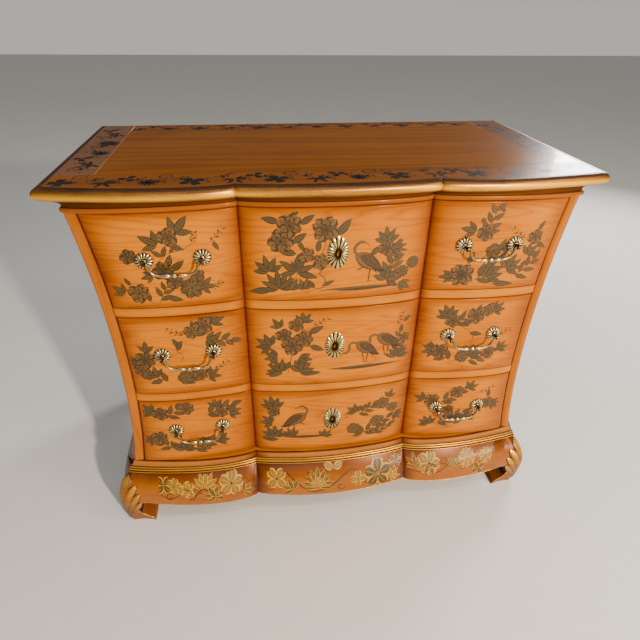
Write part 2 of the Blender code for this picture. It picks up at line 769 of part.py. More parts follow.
def build_pull_mount(name, x, z):
    vertices, faces = post_mesh(x, z)
    mount = make_object(name, vertices, faces, "brass")
    low = FRONT_Y + FRONT_BACK_PLANE + GAP
    nut = prism_y(disc_outline(x, z, NUT_RADIUS, 8), low, low + NUT_THICKNESS)
    for part, rings in (("rosette", rosette_rings(x, z)), ("nut", nut)):
        add_boolean(mount, make_cutter(f"{name}_{part}", [rings]), "UNION")


# Half of the bail's line from its pin to the middle, with the wire's radius at each point
def bail_half():
    reach = PULL_PITCH / 2
    arm = reach - BAIL_PIN_INSET
    low = -BAIL_DROP
    points = [(reach + POST_THICKNESS / 2, 0.0, BAIL_PIN_RADIUS), (arm + 0.0015, 0.0, BAIL_PIN_RADIUS)]
    points += [(arm, low * 0.03, BAIL_RADIUS), (arm - 0.0010, low * 0.22, BAIL_RADIUS)]
    points += [(arm - 0.0030, low * 0.52, BAIL_RADIUS), (arm - 0.0075, low * 0.80, BAIL_RADIUS)]
    points += [(arm - 0.0150, low * 0.96, BAIL_RADIUS), (0.0200, low, BAIL_RADIUS)]
    points += [(0.0140, low, 0.0024), (0.0095, low, 0.0029), (0.0058, low, 0.0015)]
    points += [(0.0036, low, 0.0026), (0.0, low, 0.0034)]
    return points


def make_bail(name, middle, z):
    half = bail_half()
    line = half + [(-x, height, radius) for x, height, radius in reversed(half[:-1])]
    rings = []
    for i, (x, height, radius) in enumerate(line):
        before = line[max(0, i - 1)]
        after = line[min(len(line) - 1, i + 1)]
        along = Vector((after[0] - before[0], 0, after[1] - before[1])).normalized()
        across = Vector((0, 1, 0))
        up = along.cross(across)
        ring = []
        for k in range(6):
            angle = 2 * math.pi * k / 6
            offset = up * radius * math.cos(angle) + across * radius * math.sin(angle)
            ring.append((middle + x + offset.x, FRONT_Y - PIVOT_REACH + offset.y, z + height + offset.z))
        rings.append(ring)
    return loft(name, [rings], "brass", (middle, FRONT_Y - PIVOT_REACH, z))


# The keyhole plate is an oval with a scalloped rim, drawn to a point above and below
def plate_mesh(z):
    count = 36
    seat = FRONT_Y - DRAWER_GROOVE - DRAWER_MIDDLE - GAP
    rim = []
    keyhole = []
    for i in range(count):
        angle = 2 * math.pi * i / count
        scallop = 1.0 if i % 2 else 0.94
        point = 1 + 0.06 * abs(math.sin(angle)) ** 8
        rim.append((PLATE_HALF_WIDTH * scallop * math.cos(angle),
                    PLATE_HALF_HEIGHT * scallop * point * math.sin(angle)))
        slot = KEYHOLE_SLOT if math.sin(angle) < -0.5 else KEYHOLE_RADIUS
        keyhole.append((KEYHOLE_RADIUS * 0.8 * math.cos(angle), slot * math.sin(angle)))
    vertices = []
    rows = ((keyhole, 1.0, 0.0), (rim, 1.0, 0.0), (rim, 1.0, 0.001), (rim, 0.55, PLATE_HEIGHT),
            (keyhole, 1.0, PLATE_HEIGHT))
    for outline, scale, height in rows:
        vertices.extend((x * scale, seat - height, z + rise * scale) for x, rise in outline)
    return vertices, ring_faces(len(rows), count)


def build_drawer(number, span):
    name = f"drawer_{number}_"
    low = span[0] + DRAWER_CLEARANCE
    high = span[1] - DRAWER_CLEARANCE
    pull_z = (low + high) / 2 + PULL_RAISE
    front = loft(name + "front", [drawer_front_rings(low, high)], "honey")
    bores = []
    for x, z in pull_places(pull_z):
        outline = disc_outline(x, z, POST_BORE_RADIUS, 8)
        bores.append(prism_y(outline, FRONT_Y - 0.04, FRONT_Y + FRONT_BACK_PLANE + 0.01))
    add_boolean(front, make_cutter(name + "bores", bores), "DIFFERENCE")

    box_high = high - BOX_UPPER_MARGIN
    half = min(stile_inner(z) for z in levels(low, high, 7)) - BOX_SIDE_CLEARANCE
    start = FRONT_Y + FRONT_BACK_PLANE + GAP
    stop = INNER_BACK_Y - BOX_REAR_SPACE
    inner = half - BOX_THICKNESS
    make_boxes(name + "side_right", [((inner, start, low), (half, stop, box_high))], "plain")
    make_boxes(name + "side_left", [((-half, start, low), (-inner, stop, box_high))], "plain")
    make_boxes(name + "back", [((-inner + GAP, stop - BOX_THICKNESS, low), (inner - GAP, stop, box_high))], "plain")
    floor = low + BOX_BOTTOM_RAISE
    make_boxes(name + "bottom", [((-inner + GAP, start, floor),
                                  (inner - GAP, stop - BOX_THICKNESS - GAP, floor + BOX_BOTTOM_THICKNESS))], "plain")

    for place, (x, z) in zip(("left_outer", "left_inner", "right_inner", "right_outer"), pull_places(pull_z)):
        build_pull_mount(f"{name}mount_{place}", x, z)
    make_bail(name + "bail_left", -PULL_X, pull_z)
    make_bail(name + "bail_right", PULL_X, pull_z)
    vertices, faces = plate_mesh((low + high) / 2 + PLATE_RAISE)
    make_object(name + "keyhole_plate", vertices, faces, "brass")


build_top()
build_top_moldings()
build_case()
build_sides()
build_rails()
build_base_molding()
build_apron()
build_feet()
build_inner_structure()
for number, span in enumerate(opening_spans(), start=1):
    build_drawer(number, span)
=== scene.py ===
import json
import math
from functools import partial
from math import cos, pi, radians, sin, sqrt

import bmesh
import bpy
import numpy as np
from mathutils import Matrix, Vector

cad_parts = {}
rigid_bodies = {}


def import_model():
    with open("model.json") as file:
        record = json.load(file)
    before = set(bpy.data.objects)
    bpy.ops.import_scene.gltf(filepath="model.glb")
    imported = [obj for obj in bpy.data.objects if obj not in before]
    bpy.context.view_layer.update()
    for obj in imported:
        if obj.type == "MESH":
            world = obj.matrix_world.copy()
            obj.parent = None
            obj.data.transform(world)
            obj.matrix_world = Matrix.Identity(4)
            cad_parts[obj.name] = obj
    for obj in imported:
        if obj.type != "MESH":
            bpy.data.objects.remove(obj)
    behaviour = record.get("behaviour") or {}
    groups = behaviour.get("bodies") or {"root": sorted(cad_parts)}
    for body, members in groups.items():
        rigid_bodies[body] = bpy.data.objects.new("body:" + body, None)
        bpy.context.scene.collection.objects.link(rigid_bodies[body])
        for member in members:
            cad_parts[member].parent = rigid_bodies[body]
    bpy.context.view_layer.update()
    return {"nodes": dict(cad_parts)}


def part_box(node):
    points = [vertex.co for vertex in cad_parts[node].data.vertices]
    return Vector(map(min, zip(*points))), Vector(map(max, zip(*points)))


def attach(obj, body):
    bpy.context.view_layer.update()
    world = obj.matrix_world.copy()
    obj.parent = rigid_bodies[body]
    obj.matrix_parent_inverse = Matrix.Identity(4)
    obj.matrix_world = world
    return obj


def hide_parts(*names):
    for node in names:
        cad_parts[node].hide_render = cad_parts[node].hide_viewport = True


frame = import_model()
print("frame loaded")

# The carcass lines, in metres, the same as in the solids
form = {
    "frontY": -0.19275, "backY": 0.25225, "gap": 0.0003,
    "apronTop": 0.1385, "moldingTop": 0.1625, "drawersTop": 0.724, "coveTop": 0.7457, "top": 0.767,
    "waistZ": 0.390, "spreadStart": 0.270, "spreadHeight": 0.150, "kneeZ": 0.070,
    "grooveX": 0.168, "waistHalf": 0.4132, "topFlare": 0.0270, "baseFlare": 0.0158, "sideSpread": 0.0240,
    "topHalf": 0.460, "coveHalf": 0.443, "moldingHalf": 0.4445, "kneeHalf": 0.470,
    "cornerBlend": 0.050, "cornerInset": 0.027, "toeTuck": 0.004, "footWidth": 0.0847, "footAhead": 0.030,
    "stileWidth": 0.0185, "stileDepth": 0.028, "sideThickness": 0.015, "footInset": 0.003,
}
# The ones used most
frontY, backY, gap, topZ, topHalf = (form[key] for key in ("frontY", "backY", "gap", "top", "topHalf"))
apronTop, moldingTop, drawersTop, kneeZ = (form[key] for key in ("apronTop", "moldingTop", "drawersTop", "kneeZ"))
grooveX, moldingHalf, kneeHalf = form["grooveX"], form["moldingHalf"], form["kneeHalf"]
footWidth, footFrontY, footRearY = form["footWidth"], frontY - form["footAhead"], backY - form["footInset"]
footInnerX = kneeHalf - footWidth


def smooth(t):
    t = min(1.0, max(0.0, t))
    return t * t * (3 - 2 * t)


def spread(low, high, count):
    return [low + (high - low) * i / (count - 1) for i in range(count)]


def stileHalf(z):
    if z > form["waistZ"]:
        return form["waistHalf"] + form["topFlare"] * ((z - form["waistZ"]) / (drawersTop - form["waistZ"])) ** 2.13
    return form["waistHalf"] + form["baseFlare"] * ((form["waistZ"] - z) / (form["waistZ"] - moldingTop)) ** 2.2


def stileInner(z):
    return stileHalf(z) - form["stileWidth"]


def sideHalf(z):
    return stileHalf(z) + form["sideSpread"] * smooth((form["spreadStart"] - z) / form["spreadHeight"])


def sideX(y, z):
    blend = smooth((y - frontY) / form["cornerBlend"])
    return stileHalf(z) + (sideHalf(z) - stileHalf(z)) * blend


def kneeX(y, z):
    if z < kneeZ:
        return kneeHalf - form["toeTuck"] * ((kneeZ - z) / kneeZ) ** 2
    rise = ((z - kneeZ) / (apronTop - kneeZ)) ** 2
    blend = smooth((y - frontY) / form["cornerBlend"])
    sideInset = kneeHalf - sideHalf(apronTop)
    return kneeHalf - rise * (form["cornerInset"] + (sideInset - form["cornerInset"]) * blend)


# Forward reach of a three-lobed line: station 0 is the middle, 1 the groove, 2 the outer end.
# Each line has its reach at the groove, the rise of its middle and its flanks, its reach at the end, its fullness.
lobes = {"drawer": (-0.009, 0.0235, 0.0150, -0.002, 0.5), "edge": (0.0125, 0.0160, 0.0188, 0.0, 0.6),
         "molding": (0.0155, 0.0180, 0.0165, 0.007, 0.7)}
# The top drawer's flanks are fuller; the apron swells below the molding and tucks in again at the toe
swell = {"flank": 0.0040, "flankHeight": 0.178, "apron": 0.030, "tuck": 0.009, "inset": 0.004}


def lobed(line, station, fuller=0.0):
    groove, middle, flank, end, power = lobes[line]
    s = abs(station)
    if s <= 1:
        return groove + middle * max(0.0, cos(pi * s / 2)) ** power
    t = min(1.0, s - 1)
    return groove + (end - groove) * smooth(t) + (flank + fuller) * max(0.0, sin(pi * t ** 0.9)) ** power


def drawerReach(station, z):
    high = swell["flankHeight"]
    return lobed("drawer", station, swell["flank"] * smooth((z - drawersTop + high) / high))


edgeReach, moldingReach = partial(lobed, "edge"), partial(lobed, "molding")


def apronReach(station, z):
    if z > kneeZ:
        out = swell["apron"] * sin(pi / 2 * (apronTop - z) / (apronTop - kneeZ))
    else:
        out = swell["apron"] - swell["tuck"] * ((kneeZ - z) / kneeZ) ** 1.5
    return moldingReach(station) - swell["inset"] + out


def stationX(station, half):
    s = abs(station)
    x = s * grooveX if s <= 1 else grooveX + (s - 1) * (half - grooveX)
    return math.copysign(x, station)


def stationAt(x, half):
    s = abs(x) / grooveX
    if s > 1:
        s = 1 + (abs(x) - grooveX) / (half - grooveX)
    return math.copysign(s, x)


# Close together at the grooves and the ends, where the lines turn
def fineStations(middle=22, flank=28):
    half = [1 - (1 - i / middle) ** 1.8 for i in range(1, middle + 1)]
    half += [1 + (0.5 - 0.5 * cos(pi * i / flank)) for i in range(1, flank + 1)]
    return [-s for s in reversed(half)] + [0.0] + half


stations = fineStations()
bothSides = (("right", 1), ("left", -1))


def towards(angle, length=1.0):
    return Vector((cos(angle), sin(angle))) * length


def toLinear(hexColour):
    channels = [int(hexColour[i:i + 2], 16) / 255 for i in (0, 2, 4)]
    return [c / 12.92 if c <= 0.04045 else ((c + 0.055) / 1.055) ** 2.4 for c in channels] + [1.0]


# Sets attributes and inputs by name; "stops" fills a colour ramp, and a node or a socket as value is linked
def setNode(node, values):
    for key, value in values.items():
        if key == "stops":
            ramp = node.color_ramp
            while len(ramp.elements) > 1:
                ramp.elements.remove(ramp.elements[-1])
            for i, (place, colour) in enumerate(value):
                stop = ramp.elements[0] if i == 0 else ramp.elements.new(place)
                stop.position, stop.color = place, toLinear(colour)
        elif isinstance(value, (bpy.types.Node, bpy.types.NodeSocket)):
            source = value.outputs[0] if isinstance(value, bpy.types.Node) else value
            node.id_data.links.new(source, node.inputs[key])
        elif isinstance(key, str) and hasattr(node, key):
            setattr(node, key, value)
        else:
            node.inputs[key].default_value = value


# Adds a node by its kind, or a math node by its operation; inputs come in order or in dictionaries of settings
def addNode(tree, kind, *inputs):
    kind, *operation = ("Math " + kind if kind.isupper() else kind).split()
    prefixes = ("GeometryNode", "ShaderNode", "FunctionNode")
    node = tree.nodes.new(next(prefix for prefix in prefixes if hasattr(bpy.types, prefix + kind)) + kind)
    if operation:
        node.operation = operation[0]
    named = [value for value in inputs if isinstance(value, dict)]
    for values in (*named, dict(enumerate(value for value in inputs if not isinstance(value, dict)))):
        setNode(node, values)
    return node


def newMaterial(name):
    material = bpy.data.materials.new(name)
    material.use_nodes = True
    tree = material.node_tree
    place = addNode(tree, "TexCoord").outputs["Object"]
    return material, partial(addNode, tree), tree.nodes["Principled BSDF"], place


# What a wood has unless its own look says otherwise
usualWood = {"shift": (0, 0, 0), "rings": 26.0, "narrow": 1.0, "figure": 0.30, "fibre": 0.45, "bias": 0.36,
             "bump": 0.05, "specular": 0.3, "tint": "FF9A3C", "coat": 0.06, "coatRough": 0.10}
grainStretch = {"x": (1.2, 0.0, 15.0), "z": (13.0, 13.0, 1.3), "top": (0.5, 13.0, 0.0), "y": (0.0, 1.7, 13.0)}


# Veneer or solid wood under lacquer. The grain runs along one axis and is flat along another, as a sawn leaf is.
def lacqueredWood(name, look):
    look = {**usualWood, **look}
    material, add, shader, place = newMaterial(name)
    across = grainStretch[look["grain"]]
    broad = add("Mapping", {"Scale": across, "Location": look["shift"], "Vector": place})
    # growth rings cut flat: contour lines of a stretched noise, about 4 mm apart
    field = add("TexNoise", {"Scale": 1.0, "Roughness": 0.4, "Vector": broad})
    swing = add("PINGPONG", add("MULTIPLY", field, look["rings"]), 1.0)
    lines = add("POWER", swing, look["narrow"])
    # fibres, drawn at 2 mm across because the real ones are too fine to show
    thin = add("Mapping", {"Scale": [c * 18 for c in across], "Vector": place})
    fibre = add("TexNoise", {"Scale": 2.0, "Detail": 3.0, "Roughness": 0.6, "Vector": thin})
    cloud = add("TexNoise", {"Scale": 7.0, "Vector": place})
    level = add("MULTIPLY", lines, look["figure"])
    level = add("MULTIPLY_ADD", fibre, look["fibre"], level)
    level = add("MULTIPLY_ADD", cloud, 0.55, level)
    stops = [(0.0, look["light"]), (0.55, look["mid"]), (1.0, look["dark"])]
    colour = add("ValToRGB", {"stops": stops}, add("SUBTRACT", level, look["bias"])).outputs[0]
    if "shade" in look:
        # painted shade, darker where the attribute is 1: at grooves and edges
        wearAndPaintedLight = add("Attribute", {"attribute_name": "shade"}).outputs["Fac"]
        soft = add("MULTIPLY_ADD", cloud, 0.5, wearAndPaintedLight)
        amount = add("SUBTRACT", soft, 0.25, {"use_clamp": True})
        colour = add("Mix", {"data_type": "RGBA", "blend_type": "MULTIPLY", 0: amount, 6: colour,
                             7: toLinear(look["shade"])}).outputs[2]
    if "bareBehind" in look:
        # the edge that faces the wall has only dark stain
        behind = add("GREATER_THAN", add("SeparateXYZ", place).outputs["Y"], look["bareBehind"])
        colour = add("Mix", {"data_type": "RGBA", 0: behind, 6: colour, 7: toLinear("2A1A0E")}).outputs[2]
    low, high = look["rough"] - 0.05, look["rough"] + 0.10
    setNode(shader, {
        "Base Color": colour, "Roughness": add("MapRange", cloud, {"To Min": low, "To Max": high}),
        "Normal": add("Bump", {"Strength": look["bump"], "Distance": 0.0004, "Height": fibre}),
        "IOR": 1.5, "Specular IOR Level": look["specular"], "Specular Tint": toLinear(look["tint"]),
        "Coat Weight": look["coat"], "Coat Roughness": look["coatRough"]})
    return material


# Maple veneer, stained honey and lacquered: warm orange, fine level grain, soft gloss
honeyVeneer = lacqueredWood("honey_maple_veneer", {
    "grain": "x", "light": "BD7000", "mid": "A65900", "dark": "783800", "shade": "956E54", "rough": 0.34,
    "shift": (0.3, 0, 0.6), "figure": 0.44, "narrow": 2.5, "rings": 44.0, "fibre": 0.50, "bias": 0.34})
# The same maple as solid rails and stiles, a little redder
honeyRail = lacqueredWood("honey_maple_rail", {
    "grain": "x", "light": "BC700A", "mid": "9E5806", "dark": "743A02", "shade": "A07458", "rough": 0.32,
    "shift": (4.1, 0, 2.2), "figure": 0.20, "narrow": 2.0})
# Stiles: upright grain, browner, with lighter painted shade
honeyStile = lacqueredWood("honey_maple_stile", {
    "grain": "z", "light": "B26A12", "mid": "98540A", "dark": "703804", "shade": "B48C74", "rough": 0.32,
    "narrow": 2.0})
# Top field: plain-sawn veneer under a thick lacquer that mirrors the room
topVeneer = lacqueredWood("top_field_veneer", {
    "grain": "top", "light": "824A04", "mid": "6C3B02", "dark": "562D02", "rough": 0.30, "coat": 0.10,
    "specular": 0.2, "coatRough": 0.06, "figure": 0.45, "fibre": 0.60, "bias": 0.50, "rings": 14.0,
    "bareBehind": backY - 0.0006})
# Border strips: the same veneer, darker, with a wider figure
borderVeneer = lacqueredWood("top_border_veneer", {
    "grain": "top", "light": "844A05", "mid": "623401", "dark": "402000", "rough": 0.30, "coat": 0.15,
    "coatRough": 0.06, "figure": 0.40, "fibre": 0.55, "bias": 0.48, "rings": 11.0, "shift": (2.7, 1.1, 0),
    "bareBehind": backY - 0.0006})
# End bands: greyer and plainer, so that the field's frame stands out
endVeneer = lacqueredWood("top_end_band_veneer", {
    "grain": "top", "light": "7C5030", "mid": "603C22", "dark": "422816", "rough": 0.28, "coat": 0.5,
    "coatRough": 0.08, "figure": 0.15, "shift": (5.2, 0.4, 0), "specular": 0.2})
# Case sides: walnut stained almost black, satin
sideWalnut = lacqueredWood("dark_stained_side", {
    "grain": "z", "light": "33200F", "mid": "241408", "dark": "160C05", "rough": 0.38, "coat": 0.2})
# Hollow under the edge: almost in shadow, dull, without lacquer
coveStain = lacqueredWood("dark_stained_cove", {
    "grain": "x", "light": "482508", "mid": "321905", "dark": "1E0E03", "rough": 0.42, "figure": 0.1, "coat": 0.0})
# Bead under the edge: the rails' maple with more of the red stain
beadStain = lacqueredWood("red_stained_bead", {
    "grain": "x", "light": "8E4C14", "mid": "743A0C", "dark": "4C2206", "rough": 0.34, "figure": 0.1})
# Hollow of the base molding: rails' stain rubbed with a little bronze
hollowStain = lacqueredWood("bronzed_brown_molding", {
    "grain": "x", "light": "A2662A", "mid": "844C18", "dark": "582E0C", "shade": "8C6E78", "rough": 0.32,
    "coat": 0.12, "figure": 0.1})
# Apron: the same maple under a redder, glossier lacquer
apronVeneer = lacqueredWood("apron_red_lacquer", {
    "grain": "x", "light": "92520A", "mid": "7A3F08", "dark": "522604", "shade": "7E5C5A", "rough": 0.28,
    "coat": 0.50, "coatRough": 0.17, "figure": 0.25, "narrow": 2.0, "shift": (1.0, 0, 3.0)})
# Toe and scroll of the foot: red-brown stain, worn thin
toeStain = lacqueredWood("toe_red_brown_stain", {
    "grain": "z", "light": "824A1E", "mid": "683814", "dark": "40220C", "rough": 0.34, "coat": 0.15, "figure": 0.12,
    "shade": "81748C"})
# Inside and back: unfinished poplar and birch ply, dry and pale
innerPoplar = lacqueredWood("bare_poplar", {
    "grain": "y", "light": "D9BE94", "mid": "C8A878", "dark": "A98A5C", "rough": 0.65, "coat": 0.0, "figure": 0.4,
    "bump": 0.2, "tint": "FFFFFF"})
# Back: the same with upright grain and a coarser figure
backBoard = lacqueredWood("bare_back_board", {
    "grain": "z", "light": "CDB088", "mid": "B8966A", "dark": "947248", "rough": 0.7, "coat": 0.0, "figure": 0.5,
    "bump": 0.2, "tint": "FFFFFF"})


# Bronze gilding: metal leaf and wax over red-brown ground, brighter where its attribute is 1; the attribute holds
# rubbed wear together with painted highlight and painted shade
def gilding(name, look):
    material, add, shader, place = newMaterial(name)
    rub = add("Attribute", {"attribute_name": "rub"}).outputs["Fac"]
    streak = add("Mapping", {"Scale": (14.0, 14.0, 120.0), "Vector": place})
    brushed = add("TexNoise", {"Scale": 1.0, "Detail": 4.0, "Roughness": 0.65, "Vector": streak})
    speck = add("TexNoise", {"Scale": 420.0, "Vector": place})
    level = add("MULTIPLY_ADD", speck, 0.25, add("MULTIPLY_ADD", brushed, 0.55, rub))
    level = add("SUBTRACT", level, 0.38, {"use_clamp": True})
    ranges = [{"To Min": low, "To Max": high} for low, high in (look["metal"], look["rough"])]
    setNode(shader, {
        "Base Color": add("ValToRGB", {"stops": look["stops"]}, level), "Metallic": add("MapRange", level, ranges[0]),
        "Roughness": add("MapRange", speck, ranges[1]),
        "Normal": add("Bump", {"Strength": 0.15, "Distance": 0.0003, "Height": speck}),
        "Coat Weight": 0.06, "Coat Roughness": 0.18})
    return material


# Top edge: bright warm gold where the painted highlight falls on the round, brown in the painted shade above and
# below it
edgeGilding = gilding("bronze_gilt_edge", {
    "stops": [(0, "462814"), (0.3, "80501A"), (0.65, "CC9026"), (1, "FFC234")],
    "metal": (0.70, 0.95), "rough": (0.32, 0.46)})
# Reeds: redder, glossier and more worn through
moldingGilding = gilding("bronze_gilt_reeds", {
    "stops": [(0, "2C1205"), (0.3, "6A380C"), (0.65, "966012"), (1, "D49A28")],
    "metal": (0.40, 0.80), "rough": (0.26, 0.42)})
# Knee leaf: dull brown in the cuts, gold towards the lobes' tips: painted shade at the lobes' edges and a painted
# highlight on their heads
leafGilding = gilding("bronze_gilt_leaf", {
    "stops": [(0, "2A1606"), (0.3, "643A0C"), (0.65, "9C6414"), (1, "E4A830")],
    "metal": (0.25, 0.65), "rough": (0.30, 0.46)})


# Cast brass, silvered with age: bright where rubbed, dark brown where its attribute is high: patina in the recesses,
# and painted shade on the bails' back faces
def agedBrass(name, look):
    material, add, shader, place = newMaterial(name)
    recess = add("Attribute", {"attribute_name": "recess"}).outputs["Fac"]
    stainAndShade = add("TexNoise", {"Scale": 260.0, "Detail": 3.0, "Roughness": 0.6, "Vector": place})
    level = add("SUBTRACT", add("MULTIPLY_ADD", stainAndShade, 0.5, recess), 0.22, {"use_clamp": True})
    setNode(shader, {
        "Base Color": add("ValToRGB", {"stops": look["stops"]}, level), "Metallic": 1.0,
        "Roughness": add("MapRange", level, {"To Min": 0.22, "To Max": 0.60}),
        "Normal": add("Bump", {"Strength": 0.12, "Distance": 0.0002, "Height": stainAndShade})})
    return material


# Pulls: pale silvery brass with near-black recesses
antiqueBrass = agedBrass("antique_silvered_brass", {
    "stops": [(0, "DCCA9C"), (0.22, "947E50"), (0.45, "402E14"), (0.75, "100A04")]})
# Keyhole plates: yellower
plateBrass = agedBrass("antique_brass_plate", {
    "stops": [(0, "D0BE86"), (0.22, "8C7642"), (0.45, "3A2A0E"), (0.75, "0E0802")]})
print("materials ready")


def settle(mesh, sharp):
    shell = bmesh.new()
    shell.from_mesh(mesh)
    bmesh.ops.recalc_face_normals(shell, faces=shell.faces)
    shell.to_mesh(mesh)
    shell.free()
    mesh.shade_smooth()
    mesh.set_sharp_from_angle(angle=radians(sharp))


def mark(mesh, key, values, kind="FLOAT"):
    layer = mesh.attributes.get(key) or mesh.attributes.new(key, kind, "POINT")
    layer.data.foreach_set("vector" if kind == "FLOAT_VECTOR" else "value", values)


def link(name, data):
    item = bpy.data.objects.new(name, data)
    bpy.context.scene.collection.objects.link(item)
    return item


def makePiece(name, vertices, faces, material, sharp=38, marks=None):
    mesh = bpy.data.meshes.new(name)
    mesh.from_pydata(vertices, [], faces)
    for key, values in (marks or {}).items():
        mark(mesh, key, values)
    settle(mesh, sharp)
    mesh.materials.append(material)
    return link(name, mesh)


# Faces between rings of equal count; a closed row of rings joins its last to its first
def ringFaces(rings, count, closed=False, start=0):
    faces = []
    for r in range(rings if closed else rings - 1):
        here, there = start + r * count, start + (r + 1) % rings * count
        for i in range(count):
            j = (i + 1) % count
            faces.append((here + i, here + j, there + j, there + i))
    return faces


def gridFaces(steps, across):
    wide = across + 1
    return [(a, a + 1, a + wide + 1, a + wide) for i in range(steps) for a in range(i * wide, i * wide + across)]


# Joins equal rings into closed shells. A fourth number in a point is kept as the attribute named by key.
# A paired ring runs up its front and down its rear, so its end caps are strips that may curve.
def loftPiece(name, shells, material, sharp=38, paired=False, key="shade"):
    vertices, faces, values = [], [], []
    for rings in shells:
        start, count = len(vertices), len(rings[0])
        for ring in rings:
            vertices += [point[:3] for point in ring]
            values += [point[3] if len(point) > 3 else 0.0 for point in ring]
        faces += ringFaces(len(rings), count, start=start)
        for a in (start, start + (len(rings) - 1) * count):
            if paired:
                faces += [(a + i, a + i + 1, a + count - 2 - i, a + count - 1 - i) for i in range(count // 2 - 1)]
            else:
                faces.append(tuple(range(a, a + count)))
    return makePiece(name, vertices, faces, material, sharp, {key: values})


# Gives a second material to the faces that pass the test of (centre, normal)
def finishWhere(piece, material, passes):
    piece.data.materials.append(material)
    slotIndex = len(piece.data.materials) - 1
    for polygon in piece.data.polygons:
        if passes(polygon.center, polygon.normal):
            polygon.material_index = slotIndex


def mirrored(rings):
    return [[(-p[0], *p[1:]) for p in ring] for ring in rings]


def standFor(piece, body, *nodes):
    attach(piece, body)
    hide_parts(*nodes)


# A right piece and its mirror image, each in place of its own CAD node
def standPair(name, node, shells, material, *options, **named):
    for sideName, turn in (("right", list), ("left", mirrored)):
        piece = loftPiece(name + sideName, [turn(rings) for rings in shells], material, *options, **named)
        standFor(piece, "case", node + sideName)


def fade(distance, width, power=1.0):
    return max(0.0, 1 - distance / width) ** power


def fromGroove(x):
    return abs(abs(x) - grooveX)


def edgeDrop(distance, radius):
    if distance >= radius:
        return 0.0
    return radius - sqrt(max(0.0, radius ** 2 - (radius - distance) ** 2))


def roundedRows(low, high, radius, count):
    ease = [radius * k for k in (0.0, 0.08, 0.3, 0.62)]
    return [low + e for e in ease] + spread(low + radius, high - radius, count) + [high - e for e in reversed(ease)]


# Shades are (most, width, power) of the painted shade at the grooves, the long edges and the ends
drawerFace = {"ease": 0.0024, "endEase": 0.0024, "rows": 12, "clearance": 0.0015, "setback": 0.0, "rear": 0.026,
              "shades": ((1.0, 0.056, 1.7), (0.75, 0.020, 1.5), (0.8, 0.056, 1.5))}
rail = {"ease": 0.0016, "endEase": 0.0, "rows": 4, "clearance": gap, "setback": 0.001, "rear": 0.055,
        "shades": ((1.0, 0.02, 1.0), (0.5, 0.003, 1.0), (0.0, 1.0, 1.0))}


# A bowed board with eased edges across the front, flat behind
def bowedRings(look, low, high):
    rings = []
    for s in stations:
        front, rear = [], []
        for z in roundedRows(low, high, look["ease"], look["rows"]):
            half = stileInner(z) - look["clearance"]
            x = stationX(s, half)
            edge, end = min(z - low, high - z), half - abs(x)
            drop = max(edgeDrop(edge, look["ease"]), edgeDrop(end, look["endEase"]))
            shade = max(most * fade(distance, width, power)
                        for (most, width, power), distance in zip(look["shades"], (fromGroove(x), edge, end)))
            front.append((x, frontY - drawerReach(s, z) + look["setback"] + drop, z, shade))
            rear.append((x, frontY + look["rear"], z))
        rings.append(front + rear[::-1])
    return rings


drawerFaces = [(f"drawer_{n}_front", f"drawerFace_{n}", f"drawer_{n}", drawerFace, honeyVeneer) for n in (1, 2, 3)]
railFaces = [(f"rail_{level}", f"rail_{level}_face", "case", rail, honeyRail) for level in ("lower", "upper")]
for node, name, body, look, finish in drawerFaces + railFaces:
    low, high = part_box(node)
    standFor(loftPiece(name, [bowedRings(look, low.z, high.z)], finish, paired=True), body, node)

# Base molding: a brown hollow over three gilt reeds that step forward, a thin one lowest
molding = {"reeds": (0.0013, 0.0028, 0.0021), "line": 0.0004, "step": 0.0018, "depth": 0.016, "first": 0.0024,
           "lineDepth": 0.0014, "hollow": 0.0096, "hollowDepth": 0.0029, "brownFrom": 0.0142}
# Stiles flare out towards the top and the foot. The foot stands back behind the base molding.
stile = {"ease": 0.0028, "chamfer": 0.0012, "rows": 44, "back": 0.002, "moldingBack": 0.007}


def stileRings():
    rings, ease, chamfer = [], stile["ease"], stile["chamfer"]
    rear = frontY + form["stileDepth"]
    behind = frontY - stile["moldingBack"] + molding["depth"] + gap
    rows = [(apronTop + gap, behind), (moldingTop + gap, behind)]
    rows += [(z, frontY + stile["back"]) for z in spread(moldingTop + 2 * gap, drawersTop, stile["rows"])]
    for z, face in rows:
        # the marks are painted shade: darkest on the inner edge beside the drawers and on the side and rear, lighter
        # round the front
        ring = [(stileInner(z), face + chamfer, z, 0.9), (stileInner(z) + chamfer, face, z, 0.5)]
        for i in range(5):
            turn = pi / 2 * i / 4
            x, y = stileHalf(z) - ease + ease * sin(turn), face + ease - ease * cos(turn)
            ring.append((x, y, z, 0.25 + 0.15 * i))
        rings.append(ring + [(sideX(rear, z), rear, z, 1.0), (stileInner(z), rear, z, 1.0)])
    return rings


standPair("stileFace_", "stile_", [stileRings()], honeyStile, 50)

# Sides: one curved board from the top down into an arched apron between the feet
side = {"rows": 44, "columns": 14, "blend": 0.026, "dip": 0.007, "apronRows": 14, "apronColumns": 25}


def sideShells():
    front = frontY + form["stileDepth"] + gap
    start, end = footFrontY + footWidth + gap, footRearY - footWidth - gap
    shells = [[], []]

    def addRing(shell, lineX, y, low, high, rows):
        outer = [(lineX(y, z), y, z) for z in spread(low, high, rows)]
        shell.append(outer + [(x - form["sideThickness"], y, z) for x, y, z in reversed(outer)])

    turn = front + side["blend"]
    for y in spread(front, turn, 7)[:-1] + spread(turn, backY, side["columns"]):
        addRing(shells[0], sideX, y, apronTop, drawersTop, side["rows"])
    for y in spread(start, end, side["apronColumns"]):
        arch = sin(pi * (y - start) / (end - start))
        addRing(shells[1], kneeX, y, kneeZ - side["dip"] * arch, apronTop, side["apronRows"])
    return shells


standPair("sideBoard_", "side_", sideShells(), sideWalnut, paired=True)


# Gilding brightness: an even level of wear, with painted highlight beside the grooves and towards the ends
wearAndHighlight = {"least": 0.50, "groove": 0.38, "grooveWidth": 0.05, "end": 0.38, "endFrom": 0.2, "endOver": 0.1}


